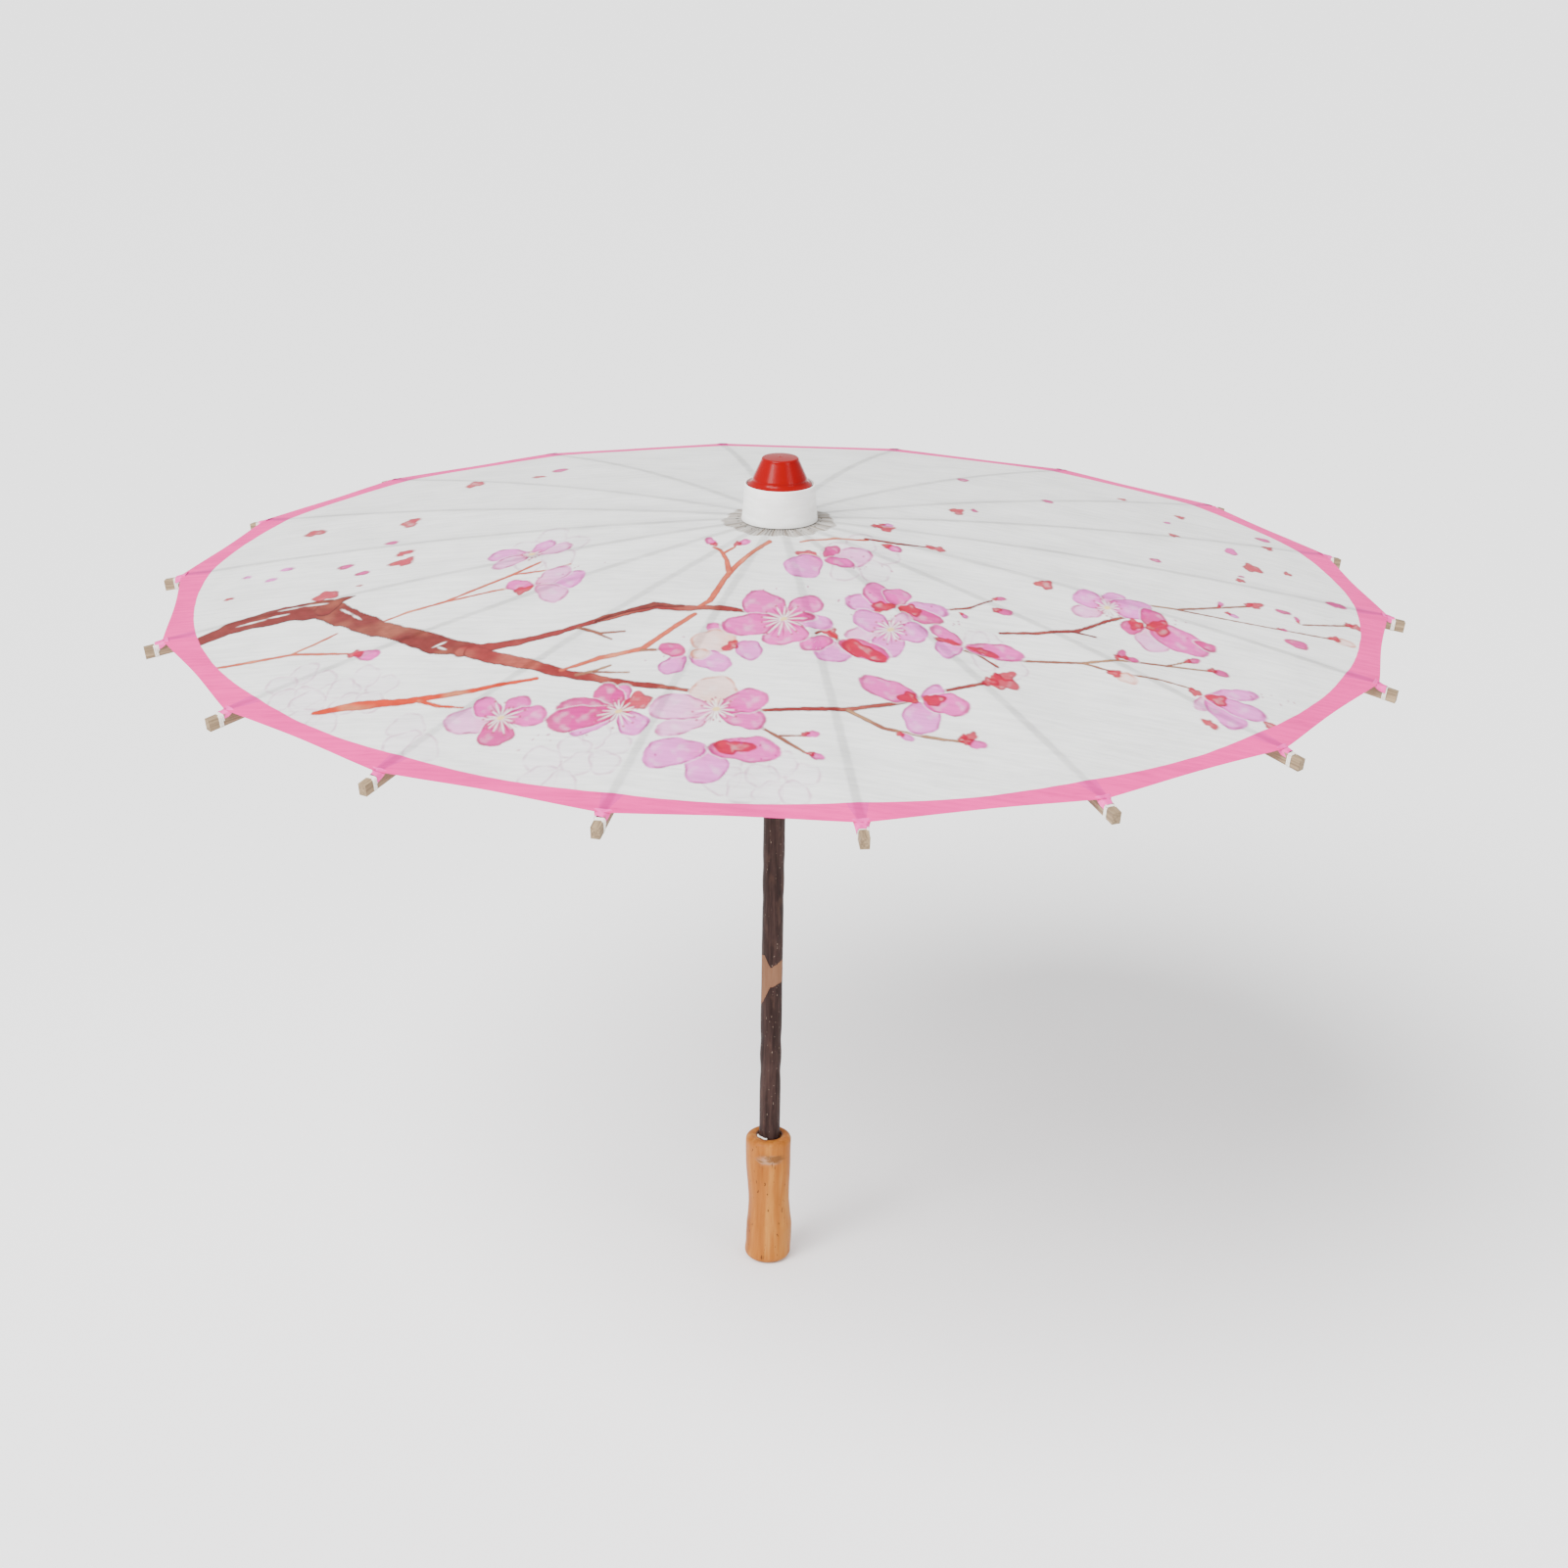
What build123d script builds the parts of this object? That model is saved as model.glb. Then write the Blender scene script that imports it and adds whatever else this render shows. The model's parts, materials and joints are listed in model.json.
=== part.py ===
from build123d import *
import math
import os

# Oil paper umbrella, open. Millimetres, +Z up along the shaft, origin at the middle of
# the handle's lower end. Eighteen bamboo ribs hang on the top hub and are pushed up by
# eighteen stretchers that stand in the runner, which slides on the shaft. In this open
# position every joint is at its rest value.

# ---- driving dimensions ---------------------------------------------------------------
RIB_COUNT = 18
TIP_RADIUS = 420.0  # shaft axis to the end of a rib
OPEN_SLOPE = 8.0  # degrees below level, umbrella open
HUB_PIVOT_Z = 560.5
HUB_PIVOT_RADIUS = 17.0
RUNNER_PIVOT_RADIUS = 17.0

RIB_REACH = 190.0  # hub pivot to stretcher pivot, along the rib
RIB_BOW = 7.0  # height of the bent rib's middle above the straight line to its tip
RIB_PIVOT_DROP = 1.2  # stretcher pivot below the rib's middle line
STRETCHER_LENGTH = 215.0  # pivot to pivot

RIB_TOP = 3.5  # rib's upper face above its middle line
RIB_HEAD_WIDTH = 2.8
RIB_WIDTH = 5.4
RIB_EYE_RADIUS = 0.9
RIB_SLOT_WIDTH = 2.4
RIB_BOTTOM = 3.6  # rib's lower face below its middle line
RIB_KNUCKLE = 4.4  # the same, where the slot is
RIB_SLOT_ROOF = 2.0  # above the middle line
PIN_RADIUS = 0.72  # thread pin of the stretcher pivot

TONGUE_WIDTH = 2.0
STRETCHER_WIDTH = 3.6
STRETCHER_FOOT_WIDTH = 2.4
STRETCHER_HALF_DEPTH = 2.8
TONGUE_EYE_RADIUS = 0.8
FOOT_EYE_RADIUS = 0.9

SHAFT_RADIUS = 7.75
SHAFT_FOOT_Z = 16.0
SHAFT_SHOULDER_Z = 588.3
SPIGOT_RADIUS = 6.0
SPIGOT_TOP_Z = 602.0
RUNNING_CLEARANCE = 0.1

SLOT_ROOT_RADIUS = 12.2  # bottom of the slots in the hub and the runner
TOOTH_RADIUS = 21.0
HUB_SLOT_WIDTH = 3.1
HUB_SLOT_ROOF_Z = HUB_PIVOT_Z + 4.4
HUB_BOTTOM_Z = HUB_PIVOT_Z - 8.0
DRUM_BOTTOM_RADIUS = 24.3
DRUM_TOP_RADIUS = 22.5
DRUM_TOP_Z = 586.4
HUB_PIN_RADIUS = 1.25
HUB_PIN_Z = 577.0

RUNNER_SLOT_WIDTH = 2.7
RUNNER_TOP = 8.0  # above its pivot
RUNNER_BOTTOM = 25.0  # below its pivot
RUNNER_SLOT_FLOOR = 13.5  # below its pivot
RUNNER_SLEEVE_RADIUS = 16.6  # below the slots

THREAD_RADIUS = 0.6
THREAD_CHANNEL_RADIUS = 0.75

PAPER_THICKNESS = 0.5
PAPER_GAP = 0.35  # paper above the ribs
PAPER_EDGE_RADIUS = 408.0
PAPER_HOLE_RADIUS = 23.0

COLLAR_WALL = 1.0
COLLAR_BOTTOM_Z = 565.0
COLLAR_TOP_Z = 587.6
COLLAR_GAP = 0.2

CAP_BOTTOM_Z = 587.8
CAP_TOP_Z = 608.0
CAP_RIM_RADIUS = 21.6
CAP_TOP_RADIUS = 12.0
CAP_FLANK_RADIUS = 17.2  # above the flared rim
CAP_WALL = 1.6

HANDLE_LENGTH = 100.0
HANDLE_END_RADIUS = 16.8
HANDLE_WAIST_RADIUS = 15.2
HANDLE_BAND_LENGTH = 18.0  # straight length at the lower end
HANDLE_EDGE = 4.5
GLUE_GAP = 0.1

CATCH_THICKNESS = 1.2
CATCH_WIDTH = 3.0
CATCH_SLOT_WIDTH = 3.6
CATCH_SLOT_DEPTH = 8.6
CATCH_SLOT_LENGTH = 34.0
CATCH_GAP = 0.7  # under the runner; the nib's corner rises by 0.65 as it is pressed
CATCH_NIB_HEIGHT = 8.6
CATCH_NIB_REACH = 3.6  # beyond the shaft's surface
CATCH_LENGTH = 28.0  # anchor to the nib's upper end

os.makedirs("parts", exist_ok=True)

# ---- the linkage, worked out from the driving dimensions ------------------------------
slope = math.radians(OPEN_SLOPE)
rib_length = (TIP_RADIUS - HUB_PIVOT_RADIUS - RIB_TOP * math.sin(slope)) / math.cos(slope)
bend_radius = rib_length**2 / (8 * RIB_BOW) + RIB_BOW / 2


def bow_at(along):
    """Height of the bent rib's middle line above the straight line from pivot to tip."""
    from_middle = along - rib_length / 2
    return math.sqrt(bend_radius**2 - from_middle**2) - (bend_radius - RIB_BOW)


elbow_rise = bow_at(RIB_REACH) - RIB_PIVOT_DROP
elbow_r = HUB_PIVOT_RADIUS + RIB_REACH * math.cos(slope) + elbow_rise * math.sin(slope)
elbow_z = HUB_PIVOT_Z - RIB_REACH * math.sin(slope) + elbow_rise * math.cos(slope)
stretcher_run = elbow_r - RUNNER_PIVOT_RADIUS
stretcher_rise = math.sqrt(STRETCHER_LENGTH**2 - stretcher_run**2)
runner_pivot_z = elbow_z - stretcher_rise
stretcher_tilt = math.degrees(math.atan2(stretcher_rise, stretcher_run))
print(f"runner pivot z {runner_pivot_z:.4f}, stretcher tilt {stretcher_tilt:.4f}")


def rib_top_z(radius):
    """Height of the ribs' upper faces at a distance from the shaft's axis."""
    along = (radius - HUB_PIVOT_RADIUS) / math.cos(slope)
    rise = (bow_at(along) + RIB_TOP) / math.cos(slope)
    return HUB_PIVOT_Z + rise - (radius - HUB_PIVOT_RADIUS) * math.tan(slope)


def upright_plane(azimuth, radius, height, tilt):
    """Plane through the shaft's axis: x runs outwards, tilted up from level, z is sideways."""
    turn, lean = math.radians(azimuth), math.radians(tilt)
    outward = Vector(math.cos(turn), math.sin(turn), 0)
    along = outward * math.cos(lean) + Vector(0, 0, math.sin(lean))
    sideways = Vector(math.sin(turn), -math.cos(turn), 0)
    return Plane(origin=outward * radius + Vector(0, 0, height), x_dir=along, z_dir=sideways)


# ---- ribs -----------------------------------------------------------------------------
# x runs from the hub pivot to the rib's tip and y is up; the rib bends upwards between them.
knuckle = [
    (RIB_REACH - 50, 0), (RIB_REACH - 18, bow_at(RIB_REACH) - RIB_KNUCKLE),
    (RIB_REACH + 74, bow_at(RIB_REACH) - RIB_KNUCKLE), (RIB_REACH + 110, 0),
    (RIB_REACH + 74, bow_at(RIB_REACH)), (RIB_REACH - 18, bow_at(RIB_REACH)),
]
rib_plan = [
    (-4, RIB_HEAD_WIDTH / 2), (12, RIB_HEAD_WIDTH / 2), (45, RIB_WIDTH / 2),
    (rib_length + 1, RIB_WIDTH / 2), (rib_length + 1, -RIB_WIDTH / 2), (45, -RIB_WIDTH / 2),
    (12, -RIB_HEAD_WIDTH / 2), (-4, -RIB_HEAD_WIDTH / 2),
]
rib_slot_start = RIB_REACH - 12
rib_slot_end = RIB_REACH + 68

for number in range(RIB_COUNT):
    azimuth = number * 360 / RIB_COUNT
    side = upright_plane(azimuth, HUB_PIVOT_RADIUS, HUB_PIVOT_Z, -OPEN_SLOPE)
    above = Plane(origin=side.origin, x_dir=side.x_dir, z_dir=side.y_dir)
    with BuildPart() as rib:
        with BuildSketch(side):
            with BuildLine():
                back = ThreePointArc((0, RIB_TOP), (rib_length / 2, RIB_BOW + RIB_TOP), (rib_length, RIB_TOP))
                end = Line(back @ 1, (rib_length, -RIB_BOTTOM))
                belly = ThreePointArc(end @ 1, (rib_length / 2, RIB_BOW - RIB_BOTTOM), (0, -RIB_TOP))
                Line(belly @ 1, back @ 0)
            make_face()
            with BuildLine():
                Polyline(*knuckle, close=True)
            make_face()
            Circle(RIB_TOP)
        extrude(amount=RIB_WIDTH / 2, both=True)
        with BuildSketch(above):
            with BuildLine():
                Polyline(*rib_plan, close=True)
            make_face()
        extrude(amount=RIB_BOW + 2 * RIB_TOP, both=True, mode=Mode.INTERSECT)
        # slot for the stretcher's tongue, open below, with a skin of bamboo left above
        with BuildSketch(side):
            with Locations(((rib_slot_start + rib_slot_end) / 2, bow_at(RIB_REACH) + RIB_SLOT_ROOF)):
                Rectangle(rib_slot_end - rib_slot_start, 3 * RIB_TOP, align=(Align.CENTER, Align.MAX))
        extrude(amount=RIB_SLOT_WIDTH / 2, both=True, mode=Mode.SUBTRACT)
        with BuildSketch(side):
            with Locations((RIB_REACH, elbow_rise)):
                Circle(PIN_RADIUS)
        extrude(amount=RIB_WIDTH / 2, both=True)
        with BuildSketch(side):
            Circle(RIB_EYE_RADIUS)
        extrude(amount=RIB_WIDTH, both=True, mode=Mode.SUBTRACT)
    rib.part.label = f"rib_{number + 1:02d}"
    export_step(rib.part, f"parts/rib_{number + 1:02d}.step")

# ---- stretchers -----------------------------------------------------------------------
# x runs from the runner pivot up to the rib's pin.
tongue_start = STRETCHER_LENGTH - 62
stretcher_plan = [
    (-4, STRETCHER_FOOT_WIDTH / 2), (9, STRETCHER_FOOT_WIDTH / 2), (24, STRETCHER_WIDTH / 2),
    (tongue_start - 14, STRETCHER_WIDTH / 2), (tongue_start, TONGUE_WIDTH / 2),
    (STRETCHER_LENGTH + 4, TONGUE_WIDTH / 2), (STRETCHER_LENGTH + 4, -TONGUE_WIDTH / 2),
    (tongue_start, -TONGUE_WIDTH / 2), (tongue_start - 14, -STRETCHER_WIDTH / 2),
    (24, -STRETCHER_WIDTH / 2), (9, -STRETCHER_FOOT_WIDTH / 2), (-4, -STRETCHER_FOOT_WIDTH / 2),
]

for number in range(RIB_COUNT):
    azimuth = number * 360 / RIB_COUNT
    side = upright_plane(azimuth, RUNNER_PIVOT_RADIUS, runner_pivot_z, stretcher_tilt)
    above = Plane(origin=side.origin, x_dir=side.x_dir, z_dir=side.y_dir)
    with BuildPart() as stretcher:
        with BuildSketch(side):
            with Locations((STRETCHER_LENGTH / 2, 0)):
                SlotCenterToCenter(STRETCHER_LENGTH, 2 * STRETCHER_HALF_DEPTH)
        extrude(amount=STRETCHER_WIDTH / 2, both=True)
        with BuildSketch(above):
            with BuildLine():
                Polyline(*stretcher_plan, close=True)
            make_face()
        extrude(amount=STRETCHER_HALF_DEPTH + 1, both=True, mode=Mode.INTERSECT)
        with BuildSketch(side):
            Circle(FOOT_EYE_RADIUS)
            with Locations((STRETCHER_LENGTH, 0)):
                Circle(TONGUE_EYE_RADIUS)
        extrude(amount=STRETCHER_WIDTH, both=True, mode=Mode.SUBTRACT)
    stretcher.part.label = f"stretcher_{number + 1:02d}"
    export_step(stretcher.part, f"parts/stretcher_{number + 1:02d}.step")

# ---- shaft ----------------------------------------------------------------------------
runner_bottom_z = runner_pivot_z - RUNNER_BOTTOM
catch_top_z = runner_bottom_z - CATCH_GAP
catch_anchor_z = catch_top_z - CATCH_LENGTH
catch_slot_top_z = catch_top_z + 2.0

with BuildPart() as shaft:
    with BuildSketch(Plane.XY.offset(SHAFT_FOOT_Z)):
        Circle(SHAFT_RADIUS)
    extrude(amount=SHAFT_SHOULDER_Z - SHAFT_FOOT_Z)
    with BuildSketch(Plane.XY.offset(SHAFT_SHOULDER_Z)):
        Circle(SPIGOT_RADIUS)
    extrude(amount=SPIGOT_TOP_Z - SHAFT_SHOULDER_Z)
    # narrow slot for the spring catch, on the front of the shaft
    with BuildSketch(Plane.XY.offset(catch_slot_top_z)):
        with Locations((0, -SHAFT_RADIUS - 1)):
            Rectangle(CATCH_SLOT_WIDTH, CATCH_SLOT_DEPTH + 1, align=(Align.CENTER, Align.MIN))
    extrude(amount=-CATCH_SLOT_LENGTH, mode=Mode.SUBTRACT)
    with BuildSketch(Plane.XZ):
        with Locations((0, HUB_PIN_Z)):
            Circle(HUB_PIN_RADIUS + 0.05)
    extrude(amount=DRUM_BOTTOM_RADIUS, both=True, mode=Mode.SUBTRACT)
shaft.part.label = "shaft"
export_step(shaft.part, "parts/shaft.step")

# ---- top hub --------------------------------------------------------------------------
with BuildPart() as top_hub:
    with BuildSketch(Plane.XY.offset(HUB_BOTTOM_Z)):
        Circle(TOOTH_RADIUS)
    extrude(amount=HUB_SLOT_ROOF_Z - HUB_BOTTOM_Z)
    with PolarLocations(0, RIB_COUNT):
        with Locations((SLOT_ROOT_RADIUS, 0, HUB_SLOT_ROOF_Z)):
            Box(
                TOOTH_RADIUS, HUB_SLOT_WIDTH, 2 * (HUB_SLOT_ROOF_Z - HUB_BOTTOM_Z),
                align=(Align.MIN, Align.CENTER, Align.CENTER), mode=Mode.SUBTRACT,
            )
    with BuildSketch(Plane.XZ):
        with Locations((HUB_PIVOT_RADIUS, HUB_PIVOT_Z)):
            Circle(THREAD_CHANNEL_RADIUS)
    revolve(axis=Axis.Z, mode=Mode.SUBTRACT)
    with BuildSketch(Plane.XZ):
        with BuildLine():
            Polyline(
                (0, HUB_SLOT_ROOF_Z), (DRUM_BOTTOM_RADIUS, HUB_SLOT_ROOF_Z),
                (DRUM_TOP_RADIUS, DRUM_TOP_Z), (0, DRUM_TOP_Z), close=True,
            )
        make_face()
    revolve(axis=Axis.Z)
    with BuildSketch(Plane.XY.offset(HUB_BOTTOM_Z - 1)):
        Circle(SHAFT_RADIUS + GLUE_GAP / 2)
    extrude(amount=DRUM_TOP_Z - HUB_BOTTOM_Z + 2, mode=Mode.SUBTRACT)
    with BuildSketch(Plane.XZ):
        with Locations((0, HUB_PIN_Z)):
            Circle(HUB_PIN_RADIUS + 0.05)
    extrude(amount=DRUM_BOTTOM_RADIUS + 1, both=True, mode=Mode.SUBTRACT)
top_hub.part.label = "top_hub"
export_step(top_hub.part, "parts/top_hub.step")

# bamboo pin through the hub's drum and the shaft
with BuildPart() as hub_pin:
    with BuildSketch(Plane.XZ):
        with Locations((0, HUB_PIN_Z)):
            Circle(HUB_PIN_RADIUS)
    extrude(amount=DRUM_TOP_RADIUS - 0.4, both=True)
    chamfer(hub_pin.edges().filter_by(GeomType.CIRCLE), length=0.3)
hub_pin.part.label = "hub_pin"
export_step(hub_pin.part, "parts/hub_pin.step")

# ---- runner ---------------------------------------------------------------------------
runner_top_z = runner_pivot_z + RUNNER_TOP
runner_slot_floor_z = runner_pivot_z - RUNNER_SLOT_FLOOR

with BuildPart() as runner:
    with BuildSketch(Plane.XZ):
        with BuildLine():
            Polyline(
                (SHAFT_RADIUS + RUNNING_CLEARANCE, runner_bottom_z),
                (RUNNER_SLEEVE_RADIUS - 1.2, runner_bottom_z),
                (RUNNER_SLEEVE_RADIUS, runner_bottom_z + 2),
                (RUNNER_SLEEVE_RADIUS, runner_slot_floor_z), (TOOTH_RADIUS, runner_slot_floor_z + 3),
                (TOOTH_RADIUS, runner_top_z), (SHAFT_RADIUS + RUNNING_CLEARANCE, runner_top_z), close=True,
            )
        make_face()
    revolve(axis=Axis.Z)
    with PolarLocations(0, RIB_COUNT):
        with Locations((SLOT_ROOT_RADIUS, 0, runner_slot_floor_z)):
            Box(
                TOOTH_RADIUS, RUNNER_SLOT_WIDTH, 2 * (runner_top_z - runner_slot_floor_z),
                align=(Align.MIN, Align.CENTER, Align.MIN), mode=Mode.SUBTRACT,
            )
    with BuildSketch(Plane.XZ):
        with Locations((RUNNER_PIVOT_RADIUS, runner_pivot_z)):
            Circle(THREAD_CHANNEL_RADIUS)
    revolve(axis=Axis.Z, mode=Mode.SUBTRACT)
runner.part.label = "runner"
export_step(runner.part, "parts/runner.step")

# ---- threads that hold the ribs and the stretchers in their slots ----------------------
for name, radius, height in (
    ("hub_thread", HUB_PIVOT_RADIUS, HUB_PIVOT_Z),
    ("runner_thread", RUNNER_PIVOT_RADIUS, runner_pivot_z),
):
    with BuildPart() as thread:
        with BuildSketch(Plane.XZ):
            with Locations((radius, height)):
                Circle(THREAD_RADIUS)
        revolve(axis=Axis.Z)
    thread.part.label = name
    export_step(thread.part, f"parts/{name}.step")

# ---- canopy ---------------------------------------------------------------------------
# A shell of flat strips that bend down with the ribs, with a fold over each rib; its hole
# goes round the hub. The space under it is cut with the same steps, a paper's thickness lower.
paper_steps = 9
paper_radii = [
    PAPER_HOLE_RADIUS + (PAPER_EDGE_RADIUS - PAPER_HOLE_RADIUS) * step / (paper_steps - 1)
    for step in range(paper_steps)
]

with BuildPart() as canopy:
    with BuildSketch(Plane.XY.offset(rib_top_z(PAPER_EDGE_RADIUS) + PAPER_GAP)):
        RegularPolygon(radius=PAPER_EDGE_RADIUS, side_count=RIB_COUNT)
    extrude(amount=PAPER_THICKNESS)
    for lift, mode in ((PAPER_GAP + PAPER_THICKNESS, Mode.ADD), (PAPER_GAP, Mode.SUBTRACT)):
        for inner, outer in zip(paper_radii, paper_radii[1:]):
            with BuildSketch(Plane.XY.offset(rib_top_z(outer) + lift)):
                RegularPolygon(radius=outer, side_count=RIB_COUNT)
            with BuildSketch(Plane.XY.offset(rib_top_z(inner) + lift)):
                RegularPolygon(radius=inner, side_count=RIB_COUNT)
            loft(ruled=True, mode=mode)
    with BuildSketch(Plane.XY.offset(rib_top_z(PAPER_HOLE_RADIUS) - 3)):
        RegularPolygon(radius=PAPER_HOLE_RADIUS, side_count=RIB_COUNT)
    extrude(amount=6, mode=Mode.SUBTRACT)
canopy.part.label = "canopy"
export_step(canopy.part, "parts/canopy.step")

# ---- collar: stiff paper cup glued over the hub's drum ---------------------------------
collar_inner_bottom = DRUM_BOTTOM_RADIUS + COLLAR_GAP
collar_inner_top = DRUM_TOP_RADIUS + COLLAR_GAP

with BuildPart() as paper_collar:
    with BuildSketch(Plane.XZ):
        with BuildLine():
            Polyline(
                (collar_inner_bottom, COLLAR_BOTTOM_Z),
                (collar_inner_bottom + COLLAR_WALL, COLLAR_BOTTOM_Z),
                (collar_inner_top + COLLAR_WALL, COLLAR_TOP_Z),
                (SHAFT_RADIUS + COLLAR_GAP, COLLAR_TOP_Z),
                (SHAFT_RADIUS + COLLAR_GAP, COLLAR_TOP_Z - COLLAR_WALL),
                (collar_inner_top, COLLAR_TOP_Z - COLLAR_WALL), close=True,
            )
        make_face()
    revolve(axis=Axis.Z)
    shoulder = paper_collar.edges().filter_by(GeomType.CIRCLE).filter_by_position(
        Axis.Z, COLLAR_TOP_Z - 0.01, COLLAR_TOP_Z + 0.01).sort_by(SortBy.RADIUS)[-1]
    fillet(shoulder, radius=0.8)
paper_collar.part.label = "paper_collar"
export_step(paper_collar.part, "parts/paper_collar.step")

# ---- finial cap: moulded shell with a boss that grips the shaft's spigot ----------------
with BuildPart() as finial_cap:
    with BuildSketch(Plane.XZ):
        with BuildLine():
            rim = Line((CAP_RIM_RADIUS, CAP_BOTTOM_Z), (CAP_RIM_RADIUS, CAP_BOTTOM_Z + 1.4))
            flare = TangentArc(rim @ 1, (CAP_FLANK_RADIUS, CAP_BOTTOM_Z + 4.4), tangent=(-1, 0.35))
            flank = Line(flare @ 1, (CAP_TOP_RADIUS + 0.5, CAP_TOP_Z - 2.6))
            brow = TangentArc(flank @ 1, (CAP_TOP_RADIUS - 1.4, CAP_TOP_Z - 0.9), tangent=flank % 1)
            crown = Line(brow @ 1, (0, CAP_TOP_Z))
            Line(crown @ 1, (0, CAP_TOP_Z - CAP_WALL))
            Polyline(
                (0, CAP_TOP_Z - CAP_WALL), (CAP_TOP_RADIUS - 2.2, CAP_TOP_Z - 1.0 - CAP_WALL),
                (CAP_FLANK_RADIUS - CAP_WALL, CAP_BOTTOM_Z + 4.6), (CAP_RIM_RADIUS - CAP_WALL - 1, CAP_BOTTOM_Z),
                (CAP_RIM_RADIUS, CAP_BOTTOM_Z),
            )
        make_face()
    revolve(axis=Axis.Z)
    with BuildSketch(Plane.XY.offset(SHAFT_SHOULDER_Z + 0.6)):
        Circle(SPIGOT_RADIUS + 2.2)
    extrude(amount=CAP_TOP_Z - 2 - SHAFT_SHOULDER_Z - 0.6)
    with BuildSketch(Plane.XY.offset(SHAFT_SHOULDER_Z)):
        Circle(SPIGOT_RADIUS + GLUE_GAP / 2)
    extrude(amount=SPIGOT_TOP_Z + 0.5 - SHAFT_SHOULDER_Z, mode=Mode.SUBTRACT)
finial_cap.part.label = "finial_cap"
export_step(finial_cap.part, "parts/finial_cap.step")

# ---- handle: turned wood with a blind bore for the shaft --------------------------------
with BuildPart() as handle:
    with BuildSketch(Plane.XZ):
        with BuildLine():
            foot = Line((0, 0), (HANDLE_END_RADIUS - HANDLE_EDGE, 0))
            edge = TangentArc(foot @ 1, (HANDLE_END_RADIUS, HANDLE_EDGE), tangent=(1, 0))
            band = Line(edge @ 1, (HANDLE_END_RADIUS, HANDLE_EDGE + HANDLE_BAND_LENGTH))
            side_curve = Spline(
                band @ 1, (HANDLE_WAIST_RADIUS, 52), (HANDLE_END_RADIUS - 0.1, HANDLE_LENGTH - 4),
                tangents=((0, 1), (0, 1)),
            )
            lip = TangentArc(
                side_curve @ 1, (HANDLE_END_RADIUS - 4, HANDLE_LENGTH), tangent=(0, 1),
            )
            Polyline(lip @ 1, (0, HANDLE_LENGTH), (0, 0))
        make_face()
    revolve(axis=Axis.Z)
    with BuildSketch(Plane.XY.offset(HANDLE_LENGTH)):
        Circle(SHAFT_RADIUS + GLUE_GAP)
    extrude(amount=-(HANDLE_LENGTH - SHAFT_FOOT_Z + 0.5), mode=Mode.SUBTRACT)
handle.part.label = "handle"
export_step(handle.part, "parts/handle.step")

# ---- spring catch: bent steel strip let into the shaft under the runner ------------------
catch_y = -SHAFT_RADIUS + 2.4  # outer face of the strip
nib_y = -SHAFT_RADIUS - CATCH_NIB_REACH

with BuildPart() as runner_catch:
    with BuildSketch(Plane.YZ):
        with BuildLine():
            Polyline(
                (catch_y, catch_anchor_z), (catch_y, catch_top_z - CATCH_NIB_HEIGHT),
                (nib_y, catch_top_z - 1.5), (nib_y, catch_top_z),
                (catch_y + CATCH_THICKNESS, catch_top_z),
                (catch_y + CATCH_THICKNESS, catch_anchor_z), close=True,
            )
        make_face()
        with Locations((catch_y + CATCH_THICKNESS / 2, catch_anchor_z)):
            Circle(1.1)
    extrude(amount=CATCH_WIDTH / 2, both=True)
runner_catch.part.label = "runner_catch"
export_step(runner_catch.part, "parts/runner_catch.step")
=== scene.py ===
"""The looks of an open oil paper umbrella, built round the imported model.

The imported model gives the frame: where each rib, the shaft, the handle and the cap are.
Paper, painted blossom, wood and thread are surfaces worked out with numpy round it.
Lengths are metres, except in the painted design, which is laid out in millimetres.
"""

import json
import logging
import math
from dataclasses import dataclass, field
from enum import Enum

import bpy
import numpy as np
from mathutils import Matrix, Vector


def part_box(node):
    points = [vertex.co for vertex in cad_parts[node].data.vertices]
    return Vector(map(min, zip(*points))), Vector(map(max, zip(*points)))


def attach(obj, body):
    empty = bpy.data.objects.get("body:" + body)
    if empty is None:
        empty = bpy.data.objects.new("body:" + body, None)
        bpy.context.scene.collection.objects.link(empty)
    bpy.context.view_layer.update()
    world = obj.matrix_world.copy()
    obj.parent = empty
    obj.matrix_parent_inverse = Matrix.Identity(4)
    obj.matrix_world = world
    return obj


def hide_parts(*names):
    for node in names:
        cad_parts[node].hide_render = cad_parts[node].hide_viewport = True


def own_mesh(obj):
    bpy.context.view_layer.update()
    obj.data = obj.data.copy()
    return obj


LOG = logging.getLogger("umbrella")
MM = 0.001
RIBS = 18
PITCH = 2 * math.pi / RIBS
Faces = list[tuple[int, ...]]
Colour = tuple[float, float, float]


def clear_start_objects() -> None:
    """Removes the cube, lamp and camera that a new file starts with."""
    for name in ("Cube", "Light", "Camera"):
        if name in bpy.data.objects:
            bpy.data.objects.remove(bpy.data.objects[name], do_unlink=True)


clear_start_objects()
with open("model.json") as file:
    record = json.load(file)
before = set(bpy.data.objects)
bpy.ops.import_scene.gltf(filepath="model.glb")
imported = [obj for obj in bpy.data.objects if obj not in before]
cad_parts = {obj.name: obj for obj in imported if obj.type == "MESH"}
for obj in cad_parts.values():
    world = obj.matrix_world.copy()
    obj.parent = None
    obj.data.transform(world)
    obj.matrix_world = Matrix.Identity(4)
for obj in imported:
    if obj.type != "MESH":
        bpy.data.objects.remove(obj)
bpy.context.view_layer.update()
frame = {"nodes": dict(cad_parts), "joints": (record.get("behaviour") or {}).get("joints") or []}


# ---- meshes --------------------------------------------------------------------------------


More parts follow.
